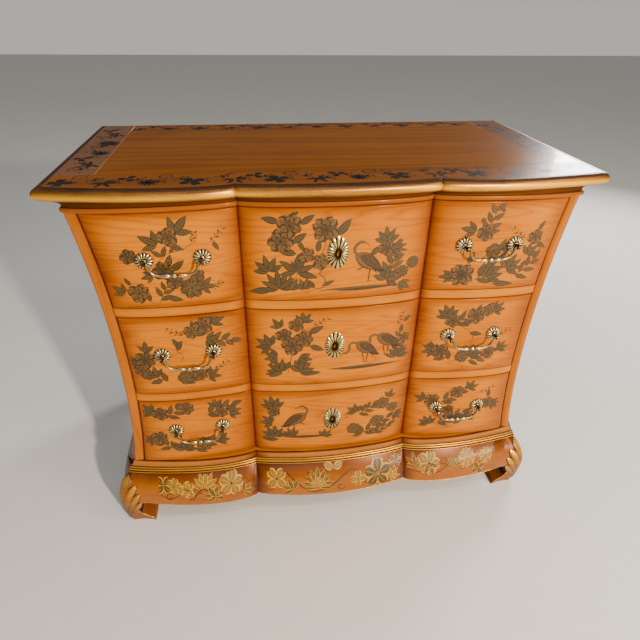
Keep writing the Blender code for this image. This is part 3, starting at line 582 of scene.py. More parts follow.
# A section point is a half width, a forward offset, a height, its share of the drawers' line and its mark
def bandFront(section):
    rings = []
    for s in stations:
        ring = []
        for half, offset, z, share, level in section:
            reach = (1 - share) * edgeReach(s) + share * drawerReach(s, drawersTop) + offset
            x = stationX(s, half)
            nearGroove = math.exp(-((abs(x) - grooveX) / wearAndHighlight["grooveWidth"]) ** 2)
            nearEnd = smooth((abs(x) - wearAndHighlight["endFrom"]) / wearAndHighlight["endOver"])
            wearAndPaintedLight = wearAndHighlight["least"] + wearAndHighlight["groove"] * nearGroove + wearAndHighlight["end"] * nearEnd
            ring.append((x, frontY - reach, z, level * wearAndPaintedLight))
        rings.append(ring)
    return rings


# Top edge: a half-round bronze molding. The reach is that of the solid's widest vertex.
edge = {"height": 0.021, "reach": 0.01441, "start": 0.0035, "steps": 22, "sideWear": 0.62,
        "crownTilt": 0.24, "crown": 3.2}


def edgeSection():
    half = edge["height"] / 2
    start = topHalf + gap
    points = [(start, gap, topZ - edge["height"], 0, 0.0), (start, gap, topZ, 0, 0.0)]
    for angle in spread(pi / 2, -pi / 2, edge["steps"] + 1):
        offset = edge["start"] + (edge["reach"] - edge["start"]) * cos(angle)
        # painted highlight: the round is brightest where it faces forward and a little down, dark above and below
        paintedHighlight = max(0.0, cos(angle + edge["crownTilt"])) ** edge["crown"]
        points.append((topHalf + offset, offset, topZ - half + half * sin(angle), 0, paintedHighlight))
    return points


def edgeSide():
    front = frontY - edgeReach(2)
    rings = [[(half, front - offset + gap * 1.5, z, level) for half, offset, z, share, level in edgeSection()]]
    for y in spread(front + 0.03, backY, 12):
        rings.append([(half, y, z, level) for half, offset, z, share, level in edgeSection()])
    return [[(*p[:3], p[3] * edge["sideWear"]) for p in ring] for ring in rings]


edgeFront = loftPiece("edgeRound_front", [bandFront(edgeSection())], edgeGilding, 50, key="rub")
standFor(edgeFront, "case", "top_edge_front")
standPair("edgeRound_", "top_edge_", [edgeSide()], edgeGilding, 50, key="rub")


# Under the edge: a bead, a hollow and a step
cove = {"depth": 0.030, "bead": 0.42, "bulge": 0.0030, "beadTop": 0.0085, "hollow": 0.0115, "step": 0.0075}


def coveSection():
    coveHalf, coveTop = form["coveHalf"], form["coveTop"]
    bead, low = (coveTop - drawersTop) * cove["bead"], drawersTop + gap
    inner, depth = coveHalf - cove["depth"], -cove["depth"]
    points = [(inner, depth, coveTop, 1, 0), (inner, depth, low, 1, 0)]
    for angle in spread(-pi / 2, pi / 2, 11):
        bulge = cove["bulge"] * cos(angle)
        points.append((coveHalf - 0.003 + bulge, bulge, low + bead / 2 * (1 + sin(angle)), 1, 1.0))
    low, high = drawersTop + bead + 0.0012, coveTop - 0.0055
    for angle in spread(0, pi / 2, 9):
        out = 1 - cos(angle)
        points.append((coveHalf - 0.0035 + cove["hollow"] * out, -0.0005 - 0.0040 * out,
                       low + (high - low) * sin(angle), 1 - 0.5 * out, 0.0))
    points += [(topHalf - cove["step"], -0.0045, z, 0.3, 0.0) for z in (high, coveTop - 0.003)]
    return points + [(topHalf - 0.0012, -0.0012, coveTop, 0, 0.0)]


coveRings = bandFront(coveSection())
coveEnd = [(p[0], backY, p[2], 0.0) for p in coveRings[-1]]
coveBand = loftPiece("coveBand", [mirrored([coveEnd]) + coveRings + [coveEnd]], coveStain, 40, key="rub")
finishWhere(coveBand, beadStain, lambda centre, normal: centre.z < drawersTop + cove["beadTop"])
standFor(coveBand, "case", "top_cove")


def moldingSection():
    z, low, points = apronTop + gap, apronTop + gap, []
    for i, reed in enumerate(molding["reeds"]):
        ahead, z = -molding["first"] - molding["step"] * i, z + reed
        # the mark is highest on each reed's forward crest, a painted highlight, and is nothing in the line to the
        # next reed, painted shade
        for angle in spread(-pi / 2, pi / 2, 11)[i > 0:]:
            points.append((ahead - reed + molding["first"] + reed * cos(angle), z + reed * sin(angle),
                           max(0.0, cos(angle)) ** 1.1))
        z += reed + molding["line"]
        points.append((ahead - reed + molding["lineDepth"], z, 0.0))
    points = [(-molding["depth"], moldingTop, 0.0), (-molding["depth"], low, 0.0)] + points
    low, high = z, moldingTop
    for k in range(1, 8):
        t = k / 7
        ahead = -molding["hollow"] - molding["hollowDepth"] * sin(pi / 2 * t)
        points.append((ahead, low + (high - low) * t, 0.10 + 0.25 * (k == 7)))
    return points


moldingRings = [[(stationX(s, moldingHalf + offset), frontY - moldingReach(s) - offset, z, level)
                 for offset, z, level in moldingSection()] for s in stations]
moldingReeds = loftPiece("moldingReeds", [moldingRings], moldingGilding, 40, key="rub")
finishWhere(moldingReeds, hollowStain, lambda centre, normal: centre.z > apronTop + molding["brownFrom"])
# painted shade: darker at the molding's top under the rail and beside the grooves
mark(moldingReeds.data, "shade", [
    max(smooth((v.co.z - moldingTop + 0.0045) / 0.004), 1 - fromGroove(v.co.x) / 0.03, 0.0)
    for v in moldingReeds.data.vertices])
standFor(moldingReeds, "case", "base_molding")

# Apron: a bulging board, sunk 0.3 mm below the solid so that the painting stays inside its box
apron = {"rows": 16, "sink": 0.0003, "thickness": 0.022, "dip": 0.007, "ease": 0.0025,
         "upperShade": 0.030, "grooveShade": 0.028}
apronHalf = footInnerX - gap
apronEnd = 1 + (apronHalf - grooveX) / (moldingHalf - grooveX)


def apronLow(place):
    t = abs(place) if abs(place) <= 1 else (abs(place) - 1) / (apronEnd - 1)
    arch = cos(pi * t / 2) if abs(place) <= 1 else sin(pi * min(1.0, t) ** 0.7)
    return kneeZ - apron["dip"] * max(0.0, arch) ** 0.8


def apronPoint(place, z, lift=0.0):
    return stationX(place, moldingHalf), frontY - apronReach(place, z) + apron["sink"] - lift, z


apronRings = []
for s in stations:
    place = s if abs(s) <= 1 else math.copysign(1 + (abs(s) - 1) * (apronEnd - 1), s)
    low, ease, front, rear = apronLow(place), apron["ease"], [], []
    for z in [low + ease * k for k in (0.0, 0.12, 0.45)] + spread(low + ease, apronTop, apron["rows"]):
        x, y, _ = apronPoint(place, z)
        # painted shade: darker under the molding and beside the grooves
        shade = max(fade(apronTop - z, apron["upperShade"], 0.8), fade(fromGroove(x), apron["grooveShade"]))
        front.append((x, y + edgeDrop(z - low, ease), z, shade))
        rear.append((x, y + apron["thickness"], z))
    apronRings.append(front + rear[::-1])
standFor(loftPiece("apronBoard", [apronRings], apronVeneer, 40, paired=True), "case", "apron_front")
print("carcass faces done")

# Feet: square hoof blocks hollowed by a curl from both faces
foot = {"tip": 0.775, "hollow": 0.388, "beyond": 1.06, "toe": 0.016, "radius": 0.018, "rearRadius": 0.004,
        "steps": 26, "stainAndShade": 0.030}


def footFront(x, z):
    cornerX = kneeX(frontY, z) - foot["radius"]
    blend = smooth((abs(x) - footInnerX) / (cornerX - footInnerX))
    reach = apronReach(1 + (abs(x) - grooveX) / (moldingHalf - grooveX), z)
    return frontY - reach * (1 - blend) - apronReach(2, z) * blend + apron["sink"]


def footRing(z):
    cornerX, radius, sideEnd = kneeX(frontY, z), foot["radius"], footFrontY + footWidth
    outer = [(x, footFront(x, z), z) for x in spread(footInnerX, cornerX - radius, 13)[:-1]]
    middleX, middleY = cornerX - radius, frontY - apronReach(2, z) + radius
    for angle in spread(-pi / 2, 0, 12):
        outer.append((middleX + radius * cos(angle), middleY + radius * sin(angle), z))
    outer += [(kneeX(y, z), y, z) for y in spread(middleY, sideEnd, 9)[1:]]
    return outer + [(footInnerX, sideEnd, z)]


def rearFootRing(z):
    x, y = kneeX(backY, z), footRearY
    sideEnd, radius = y - footWidth, foot["rearRadius"]
    corner = [(x - radius + radius * cos(a), y - radius + radius * sin(a), z)
              for a in spread(0, pi / 2, 5)]
    return [(x, sideEnd, z)] + corner + [(footInnerX, y, z), (footInnerX, sideEnd, z)]


# The hollow's outline, as distances in from the knee and heights
def curlOutline():
    width = footWidth
    tip, hollow, beyond = width * foot["tip"], width * foot["hollow"], width * foot["beyond"]
    middle, middleZ = tip - foot["toe"] * 0.4, kneeZ * 0.58
    points = [(beyond, -foot["toe"]), (tip, -foot["toe"]), (tip, foot["toe"] * 0.25),
              (tip - foot["toe"] * 0.25, foot["toe"] * 0.62), (tip - foot["toe"] * 0.6, foot["toe"] * 0.8)]
    for i in range(foot["steps"]):
        angle = -pi * 0.30 + pi * 0.80 * i / (foot["steps"] - 1)
        high = (kneeZ - middleZ) if angle > 0 else (middleZ - foot["toe"])
        points.append((middle - (middle - hollow) * cos(angle), middleZ + high * sin(angle)))
    return points + [(beyond, kneeZ)]


def evaluatedMesh(item):
    bpy.context.view_layer.update()
    return bpy.data.meshes.new_from_object(item.evaluated_get(bpy.context.evaluated_depsgraph_get()))


def cutWith(piece, outlines):
    cutters = [loftPiece(f"curl_{i}", [rings], toeStain) for i, rings in enumerate(outlines)]
    for cutter in cutters:
        cut = piece.modifiers.new("curl", "BOOLEAN")
        cut.operation, cut.solver, cut.object = "DIFFERENCE", "EXACT", cutter
    mesh = evaluatedMesh(piece)
    piece.modifiers.clear()
    for cutter in cutters:
        bpy.data.objects.remove(cutter)
    piece.data = mesh
    settle(mesh, 32)


def buildFoot(name, rings, cornerY, sign, turn):
    piece = loftPiece(name, [turn(rings)], toeStain, 32)
    curl = curlOutline()
    beyond = curl[0][0]
    low, high = sorted((cornerY - sign * 0.03, cornerY + sign * beyond))
    across = [[(kneeHalf - inward, y, z) for inward, z in curl] for y in (low, high)]
    along = [[(x, cornerY + sign * inward, z) for inward, z in curl] for x in (kneeHalf - beyond, kneeHalf + 0.01)]
    cutWith(piece, [turn(across), turn(along)])
    # painted shade: darker towards the molding above; the outer faces take the dark side finish, and so do faces
    # turned down in the hollow, as painted shade
    mark(piece.data, "shade", [fade(apronTop - v.co.z, foot["stainAndShade"], 0.8) for v in piece.data.vertices])
    if sign > 0:
        finishWhere(piece, apronVeneer, lambda centre, normal: normal.y < -0.62 and centre.z > 0.030)
    finishWhere(piece, sideWalnut, lambda centre, normal: sign < 0 or (abs(normal.x) > 0.78 or normal.z < -0.3)
                and centre.z > 0.022)
    standFor(piece, "case", name.replace("footFront", "foot_front").replace("footRear", "foot_rear"))


footZ = spread(0, kneeZ, 18) + spread(kneeZ, apronTop, 18)[1:]
for sideName, turn in (("right", list), ("left", mirrored)):
    buildFoot("footFront_" + sideName, [footRing(z) for z in footZ], footFrontY, 1, turn)
    buildFoot("footRear_" + sideName, [rearFootRing(z) for z in footZ], footRearY, -1, turn)
print("feet done")

# Top border: veneered strips round the field, level with it less 0.3 mm for the painting
border = {"depth": 0.003, "sink": 0.0003, "width": 0.0655, "rear": 0.059, "front": 0.056, "joint": 0.0003}
fieldHalf, fieldFront, fieldRear = topHalf - border["width"], frontY + border["front"], backY - border["rear"]


def buildBorder():
    low, high = topZ - border["depth"], topZ - border["sink"]
    half, joint = fieldHalf, border["joint"]
    frontStrip = [(stationX(s, topHalf), frontY - edgeReach(s)) for s in stations]
    frontStrip += [(topHalf, fieldFront - joint), (-topHalf, fieldFront - joint)]
    inner = half - joint / 2
    rearStrip = [(-inner, fieldRear + joint), (inner, fieldRear + joint), (inner, backY), (-inner, backY)]
    rightEnd = [(half + joint, fieldFront), (topHalf, fieldFront), (topHalf, backY), (half + joint, backY)]
    leftEnd = [(-x, y) for x, y in rightEnd]
    vertices, faces, slots = [], [], []
    for outline, place in ((frontStrip, 0), (rearStrip, 0), (rightEnd, 1), (leftEnd, 1)):
        count, start = len(outline), len(vertices)
        vertices += [(x, y, z) for z in (low, high) for x, y in outline]
        faces += [tuple(range(start, start + count)), tuple(range(start + count, start + 2 * count))]
        faces += ringFaces(2, count, start=start)
        slots += [place] * (count + 2)
    piece = makePiece("borderStrips", vertices, faces, borderVeneer, 30)
    piece.data.materials.append(endVeneer)
    piece.data.polygons.foreach_set("material_index", slots)
    standFor(piece, "case", "top_border")


buildBorder()
print("border done")

# CAD nodes whose shape is right keep it and get the real finish
finishes = {"top_panel": topVeneer, "back_panel": backBoard, "bottom_rail": honeyRail, "top_rail": innerPoplar,
            "bottom_board": innerPoplar, "runner_frame_lower": innerPoplar, "runner_frame_upper": innerPoplar}
for number in (1, 2, 3):
    for part in ("side_left", "side_right", "back", "bottom"):
        finishes[f"drawer_{number}_{part}"] = innerPoplar
for name, material in finishes.items():
    for slotItem in frame["nodes"][name].material_slots:
        slotItem.material = material
print("frame finishes done")


# A Geometry Nodes tree with named inputs. Inputs are (name, socket kind) pairs. The second function closes it.
def newTree(name, inputs):
    tree = bpy.data.node_groups.new(name, "GeometryNodeTree")
    for way, label, kind in (("INPUT", "Geometry", "Geometry"), *[("INPUT", *pair) for pair in inputs],
                             ("INPUT", "Material", "Material"), ("OUTPUT", "Geometry", "Geometry")):
        tree.interface.new_socket(label, in_out=way, socket_type="NodeSocket" + kind)
    add = partial(addNode, tree)
    start, end = tree.nodes.new("NodeGroupInput"), tree.nodes.new("NodeGroupOutput")

    def finish(shape):
        setNode(end, {0: add("SetMaterial", add("RealizeInstances", shape), {"Material": start.outputs["Material"]})})
        return tree
    return add, start.outputs, finish


# Runs a tree on a carrier mesh and returns the plain mesh that comes out
def runTree(tree, carrierMesh, values):
    carrier = link("carrier", carrierMesh)
    shape = carrier.modifiers.new("shape", "NODES")
    shape.node_group = tree
    for item in tree.interface.items_tree:
        if item.in_out == "INPUT" and item.name in values:
            shape[item.identifier] = values[item.name]
    mesh = evaluatedMesh(carrier)
    carrier.modifiers.remove(shape)
    bpy.data.objects.remove(carrier)
    return mesh


# Ribs set round a centre on an oval: each is turned to its angle and drawn out to the rim
def ribTree():
    add, start, finish = newTree("ribs round an oval", [
        ("Rib", "Object"), ("Count", "Int"), ("Half Width", "Float"), ("Half Height", "Float"), ("Point", "Float")])
    wide, high = start["Half Width"], start["Half Height"]
    ring = add("MeshCircle", {"Radius": 1.0, "Vertices": start["Count"]})
    place = add("InputPosition")
    parts = add("SeparateXYZ", place).outputs
    # from the centre to the oval's line in the rib's direction, a little more towards the points
    down, aside = add("MULTIPLY", parts["Y"], wide), add("MULTIPLY", parts["X"], high)
    total = add("MULTIPLY_ADD", aside, aside, add("POWER", down, 2.0))
    reach = add("DIVIDE", add("MULTIPLY", wide, high), add("SQRT", total))
    drawn = add("MULTIPLY_ADD", add("POWER", parts["Y"], 8.0), start["Point"], 1.0)
    length = add("MULTIPLY", reach, drawn)
    turn = add("CombineXYZ", {2: add("ARCTAN2", parts["Y"], parts["X"])})
    ribs = add("InstanceOnPoints", {
        "Points": ring, "Instance": add("ObjectInfo", {"Object": start["Rib"]}).outputs["Geometry"],
        "Rotation": add("EulerToRotation", turn), "Scale": add("CombineXYZ", length, length, wide)})
    back = add("VectorMath SCALE", place, {"Scale": -1.0})
    return finish(add("TranslateInstances", {"Local Space": False, "Instances": ribs, "Translation": back}))


# One rib in a unit circle: a closed gouge-cut wedge with a rounded outer end. Height is in units of the half width.
def ribShape(name, look):
    steps, across, inner = look["steps"], look["across"], look["inner"]
    halfAngle = pi / look["count"] * look["fill"]
    top, marks, floor = [], [], []
    for i in range(steps + 1):
        u = i / steps
        for k in range(across + 1):
            v = -1 + 2 * k / across
            r = inner + (1 - look["scallop"] * v * v - inner) * u
            dome = look["high"] + (look["rim"] - look["high"]) * u ** look["domePower"]
            swell = sin(pi * min(1.0, 0.15 + 0.85 * u)) ** 0.35
            height = max(0.02, dome + look["relief"] * sqrt(max(0.0, 1 - v * v)) * swell)
            spot = (r * cos(halfAngle * v), r * sin(halfAngle * v))
            top.append((*spot, height if i < steps else look["rim"] * 0.4))
            floor.append((*spot, 0.0))
            marks.append(min(1.0, 0.95 * abs(v) ** 5 + 0.8 * (1 - u) ** 5))
    wide = across + 1
    rim = list(range(wide)) + [i * wide + across for i in range(1, steps + 1)]
    rim += [steps * wide + k for k in range(across - 1, -1, -1)] + [i * wide for i in range(steps - 1, 0, -1)]
    lower = {i: len(top) + n for n, i in enumerate(rim)}
    faces = gridFaces(steps, across) + [(a, b, lower[b], lower[a]) for a, b in zip(rim, rim[1:] + rim[:1])]
    faces.append(tuple(lower[i] for i in rim))
    return makePiece(name, top + [floor[i] for i in rim], faces, antiqueBrass, 45,
                     {"recess": marks + [1.0] * len(rim)})


# A turned shape about the axis +Z from (radius, height, recess) points, closed at both ends
def turned(profile, count):
    turns = [2 * pi * i / count for i in range(count)]
    vertices = [(radius * cos(a), radius * sin(a), height) for radius, height, _ in profile for a in turns]
    marks = [recess for _, _, recess in profile for _ in turns]
    last = (len(profile) - 1) * count
    ends = [tuple(range(count)), tuple(range(last, last + count))]
    return vertices, ringFaces(len(profile), count) + ends, marks


# Gathers loose shapes, each (vertices, faces, marks), into one
def gathered(*parts):
    vertices, faces, marks = [], [], []
    for v, f, m in parts:
        faces += [tuple(i + len(vertices) for i in face) for face in f]
        vertices += [tuple(p) for p in v]
        marks += list(m)
    return vertices, faces, marks


def plainShape(mesh):
    recess = mesh.attributes["recess"].data
    return [tuple(v.co) for v in mesh.vertices], [tuple(p.vertices) for p in mesh.polygons], [r.value for r in recess]


# Pulls: shell rosettes, eye posts and drop bails
pull = {"x": 0.280, "pitch": 0.095, "raise": 0.006, "pivot": 0.027, "drop": 0.023, "rosette": 0.0162, "seat": 0.0006,
        "ribs": 14, "eye": 0.0046, "eyeHole": 0.0020, "postWidth": 0.0050, "postHeight": 0.0056,
        "nut": 0.0080, "nutDepth": 0.003, "inRim": 0.985}
ribsRound = ribTree()
rosetteRib = ribShape("rosetteRib", {"steps": 6, "across": 6, "inner": 0.16, "count": pull["ribs"], "fill": 0.97,
                                     "scallop": 0.13, "high": 0.25, "rim": 0.13, "relief": 0.085, "domePower": 2.0})
rosetteMesh = runTree(ribsRound, bpy.data.meshes.new("rosette"), {
    "Rib": rosetteRib, "Count": pull["ribs"], "Half Width": pull["rosette"] * pull["inRim"],
    "Half Height": pull["rosette"] * pull["inRim"], "Point": 0.0, "Material": antiqueBrass})
rosetteDisc = turned([(0.93, 0.0, 1.0), (0.93, 0.06, 1.0), (0.30, 0.20, 1.0), (0.27, 0.31, 0.35), (0.20, 0.37, 0.1),
                      (0.08, 0.40, 0.0)], 28)
discPoints = [tuple(c * pull["rosette"] for c in point) for point in rosetteDisc[0]]
rosetteShape = gathered(plainShape(rosetteMesh), (discPoints, *rosetteDisc[1:]))


def surfaceReach(x, z):
    half = stileInner(z) - drawerFace["clearance"]
    return drawerReach(stationAt(x, half), z)


def postShape(x, z):
    pivot = frontY - pull["pivot"]
    tail = frontY + drawerFace["rear"] + pull["nutDepth"] + 0.002
    half, wide = pull["postHeight"] / 2, pull["postWidth"] / 2
    sweep = pi - math.asin(half / pull["eye"])
    line = [(tail, -half), (tail, half)]
    line += [(pivot + pull["eye"] * cos(a), pull["eye"] * sin(a)) for a in
             spread(pi - sweep, pi + sweep, 25)]
    rows = []
    for inset, width in ((0.0009, 1.0), (0.0, 0.66), (0.0, -0.66), (0.0009, -1.0)):
        row = []
        for y, height in line:
            away = Vector((y - pivot, height))
            share = 1 - inset / max(away.length, 0.001)
            row.append((x + width * wide, pivot + away.x * share, z + away.y * share))
        rows.append(row)
    angles = [math.atan2(height, y - pivot) for y, height in line]
    hole = [(pivot + pull["eyeHole"] * cos(a), z + pull["eyeHole"] * sin(a)) for a in angles]
    rows = [[(x + wide, *p) for p in hole]] + rows + [[(x - wide, *p) for p in hole]]
    count = len(line)
    marks = [0.9] * count + [0.35] * (4 * count) + [0.9] * count
    return [p for row in rows for p in row], ringFaces(len(rows), count, closed=True), marks


def placed(shape, turn, centre):
    return [tuple(turn @ Vector(p) + centre) for p in shape[0]], shape[1], shape[2]


outward = Matrix(((1, 0, 0), (0, 0, -1), (0, 1, 0)))  # the shape's +Z looks towards -Y, its +Y stays up
pullPlaces = {"left_outer": (-1, -1), "left_inner": (-1, 1), "right_inner": (1, -1), "right_outer": (1, 1)}


# Joins loose shapes, each (vertices, faces, marks), and stands the piece in for a node of a drawer
def standHardware(name, parts, material, number, node):
    vertices, faces, marks = gathered(*parts)
    piece = makePiece(name, vertices, faces, material, 40, {"recess": marks})
    standFor(piece, f"drawer_{number}", f"drawer_{number}_{node}")


def buildMount(number, place, z):
    sideSign, pitchSign = pullPlaces[place]
    x = sideSign * pull["x"] + pitchSign * pull["pitch"] / 2
    slope = (surfaceReach(x + 0.006, z) - surfaceReach(x - 0.006, z)) / 0.012
    lean = Matrix.Rotation(-math.atan(slope), 3, "Z")
    centre = Vector((x, frontY - surfaceReach(x, z) - pull["seat"], z))
    nutPlace = Vector((x, frontY + drawerFace["rear"] + gap + pull["nutDepth"], z))
    wide, deep, ease = pull["nut"], pull["nutDepth"], 0.0006
    nut = turned([(wide * 0.9, 0, 0.5), (wide, ease, 0.3), (wide, deep - ease, 0.3), (wide * 0.9, deep, 0.5)], 6)
    parts = placed(rosetteShape, lean @ outward, centre), postShape(x, z), placed(nut, outward, nutPlace)
    standHardware(f"pullMount_{number}_{place}", parts, antiqueBrass, number, "mount_" + place)


# Half of the bail from its pin to the middle: place along, drop and wire radius
def bailHalf():
    reach, low = pull["pitch"] / 2, -pull["drop"]
    arm = reach - 0.0055
    return [
        (reach + pull["postWidth"] / 2, 0.0, 0.0018), (reach + 0.0018, 0.0, 0.0019), (arm + 0.0022, 0.0, 0.0019),
        (arm + 0.0006, low * 0.02, 0.0024), (arm - 0.0004, low * 0.10, 0.0025), (arm - 0.0010, low * 0.24, 0.0023),
        (arm - 0.0030, low * 0.52, 0.0023), (arm - 0.0075, low * 0.80, 0.0024),
        (arm - 0.0150, low * 0.955, 0.0025), (0.0215, low * 0.995, 0.0025), (0.0165, low, 0.0038),
        (0.0115, low, 0.0042), (0.0072, low, 0.0029), (0.0054, low, 0.0018), (0.0045, low, 0.0023),
        (0.0028, low, 0.0040), (0.0, low, 0.0045)]


def catmull(points, steps):
    points = [Vector(p) for p in points]
    padded = [points[0]] + points + [points[-1]]
    line = []
    for i in range(1, len(padded) - 2):
        a, b, c, d = padded[i - 1:i + 3]
        for k in range(steps):
            t = k / steps
            bend, twist = 2 * a - 5 * b + 4 * c - d, 3 * b - a - 3 * c + d
            line.append(0.5 * ((2 * b) + (c - a) * t + bend * t * t + twist * t ** 3))
    return line + [points[-1]]


def buildBail(number, sideName, z):
    middle = pull["x"] if sideName == "right" else -pull["x"]
    half = bailHalf()
    line = catmull(half + [(-x, height, radius) for x, height, radius in reversed(half[:-1])], 4)
    rings = []
    for i, point in enumerate(line):
        before, after = line[max(0, i - 1)], line[min(len(line) - 1, i + 1)]
        along = Vector((after.x - before.x, 0, after.y - before.y)).normalized()
        across = Vector((0, 1, 0))
        up = along.cross(across)
        centre = Vector((middle + point.x, frontY - pull["pivot"], z + point.y))
        nearPin = max(0.0, abs(point.x) - 0.040) / 0.008
        ring = []
        for k in range(16):
            angle = 2 * pi * k / 16
            spot = centre + (up * cos(angle) + across * sin(angle)) * point.z
            # painted shade: the side of the wire turned towards the drawer is darker
            behind = max(0.0, sin(angle - 0.3))
            recess = 0.10 + 0.5 * nearPin + 0.35 * max(0.0, 0.0027 - point.z) / 0.001 + 0.7 * behind
            ring.append((*spot, min(1.0, recess) * 0.8))
        rings.append(ring)
    piece = loftPiece(f"bail_{number}_{sideName}", [rings], antiqueBrass, 60, key="recess")
    standFor(piece, f"drawer_{number}_bail_{sideName}", f"drawer_{number}_bail_{sideName}")


# Keyhole plates: an oval of ribs drawn to a point above and below, pierced by a keyhole in a smooth boss
plate = {"halfWidth": 0.0195, "halfHeight": 0.0282, "point": 0.135, "ribs": 20, "raise": 0.005,
         "keyRadius": 0.0026, "keySlot": 0.0085}


def plateShell():
    count, rows, outlines = 48, [], []
    for i in range(count):
        angle = 2 * pi * i / count
        c, s = cos(angle), sin(angle)
        rim = (plate["halfWidth"] * 0.93 * c, plate["halfHeight"] * 0.93 * (1 + plate["point"] * abs(s) ** 8) * s)
        slot = plate["keySlot"] if s < -0.5 else plate["keyRadius"]
        outlines.append((rim, (plate["keyRadius"] * 0.8 * c, slot * s)))
    # each row is the rim (0) or the keyhole (1), its growth, height and recess
    for key, grow, height, recess in (
            (1, 1.0, 0.0, 1.0), (0, 1.0, 0.0, 1.0), (0, 1.0, 0.0009, 1.0), (0, 0.42, 0.0014, 0.9),
            (1, 1.45, 0.0030, 0.5), (1, 1.30, 0.0033, 0.3), (1, 1.06, 0.0032, 0.5), (1, 1.0, 0.0028, 1.0)):
        rows += [(o[key][0] * grow, o[key][1] * grow, height, recess) for o in outlines]
    return [p[:3] for p in rows], ringFaces(8, count, closed=True), [p[3] for p in rows]


plateRib = ribShape("plateRib", {"steps": 6, "across": 6, "inner": 0.20, "count": plate["ribs"], "fill": 0.97,
                                 "scallop": 0.10, "high": 0.150, "rim": 0.06, "relief": 0.05, "domePower": 1.8})
plateMesh = runTree(ribsRound, bpy.data.meshes.new("plate"), {
    "Rib": plateRib, "Count": plate["ribs"], "Half Width": plate["halfWidth"], "Half Height": plate["halfHeight"],
    "Point": plate["point"], "Material": plateBrass})
plateShape = gathered(plainShape(plateMesh), plateShell())


def buildPlate(number, z):
    seat = Vector((0, frontY - drawerReach(0, z) - gap, z))
    standHardware(f"keyPlate_{number}", [placed(plateShape, outward, seat)], plateBrass, number, "keyhole_plate")


for number in (1, 2, 3):
    low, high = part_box(f"drawer_{number}_front")
    middleZ = (low.z + high.z) / 2
    for place in pullPlaces:
        buildMount(number, place, middleZ + pull["raise"])
    for sideName in ("left", "right"):
        buildBail(number, sideName, middleZ + pull["raise"])
    buildPlate(number, middleZ + plate["raise"])
for tool in (rosetteRib, plateRib):
    bpy.data.objects.remove(tool)
print("hardware done")


# Painted decoration: thin films of oil paint on the lacquer, each leaf and petal with its own outline and veins.
# "paintUv" is (across -1..1, along 0..1, outline width), "hue" picks the pigment.
def motifShape(name, collection, halfWidth, steps, across, outline, height=None):
    vertices, uvs = [], []
    for i in range(steps + 1):
        for k in range(across + 1):
            u, v = i / steps, -1 + 2 * k / across
            vertices.append((*halfWidth(u, v), height(u, v) if height else 0.0))
            uvs += (v, u, outline)
    mesh = bpy.data.meshes.new(name)
    mesh.from_pydata(vertices, [], gridFaces(steps, across))
    mark(mesh, "paintUv", uvs, "FLOAT_VECTOR")
    collection.objects.link(bpy.data.objects.new(name, mesh))


# Each shape is one unit long from its root at the origin, along +X
def leafEdge(u, v):
    wide = (0.03 + 0.97 * sin(pi * u ** 0.8) ** 0.9) * (1 if 0 < u < 1 else 0.35)
    return 0.02 + 0.98 * u, v * wide


def petalEdge(u, v):
    wide = (0.12 + 0.88 * sin(pi / 2 * u ** 0.75)) * (1 - 0.55 * u ** 5)
    return (0.06 + 0.94 * u) * (1 - 0.13 * u * (1 - abs(v)) ** 2), v * wide


def dotEdge(u, v):
    return cos(pi * (1 - u)) * 0.5 + 0.5, v * (0.08 + 0.92 * sin(pi * u))


motifs = bpy.data.collections.new("paint motifs")
bpy.context.scene.collection.children.link(motifs)
motifShape("motif_0_leaf", motifs, leafEdge, 7, 2, 0.70)
motifShape("motif_1_petal", motifs, petalEdge, 5, 4, 0.72)
motifShape("motif_2_dot", motifs, dotEdge, 4, 2, 1.2)
motifShape("motif_3_long", motifs, leafEdge, 22, 4, 0.86)


# Sets the shapes out on points that carry their turn, size, kind, hue and layer
def motifTree():
    add, start, finish = newTree("paint motifs on points", [("Motifs", "Collection")])
    shapes = add("CollectionInfo", {"Separate Children": True, "Reset Children": True, "Collection": start["Motifs"]})
    turn, size, kind = (add("InputNamedAttribute", {"data_type": dataType, "Name": label}) for label, dataType in
                        (("turn", "FLOAT"), ("size", "FLOAT_VECTOR"), ("kind", "INT")))
    return finish(add("InstanceOnPoints", {
        "Pick Instance": True, "Points": start["Geometry"], "Instance": shapes, "Instance Index": kind,
        "Rotation": add("EulerToRotation", add("CombineXYZ", {2: turn})), "Scale": size}))


motifsOnPoints = motifTree()
leafKind, petalKind, dotKind, longKind = 0, 1, 2, 3


# A path that bends evenly as it goes: its points, and its heading at each of them but the first
def bentPath(x, z, degrees, length, bend):
    place, heading, points, headings = Vector((x, z)), radians(degrees), [Vector((x, z))], []
    for i in range(12):
        heading += radians(bend) / 12
        place = place + towards(heading) * length / 12
        points.append(place)
        headings.append(heading)
    return points, headings


# Which numbers of a row are lengths, which rows give in millimetres
rowLengths = {
    "leaf": (0, 1, 3, 5), "dot": (0, 1, 2), "fan": (0, 1, 4, 7), "spray": (0, 1, 3, 6, 8), "blossom": (0, 1, 2),
    "clover": (0, 1, 2), "twig": (0, 1, 3, 7), "bird": (0, 1, 2), "ground": (0, 1, 2), "curl": (0, 1, 3, 6)}


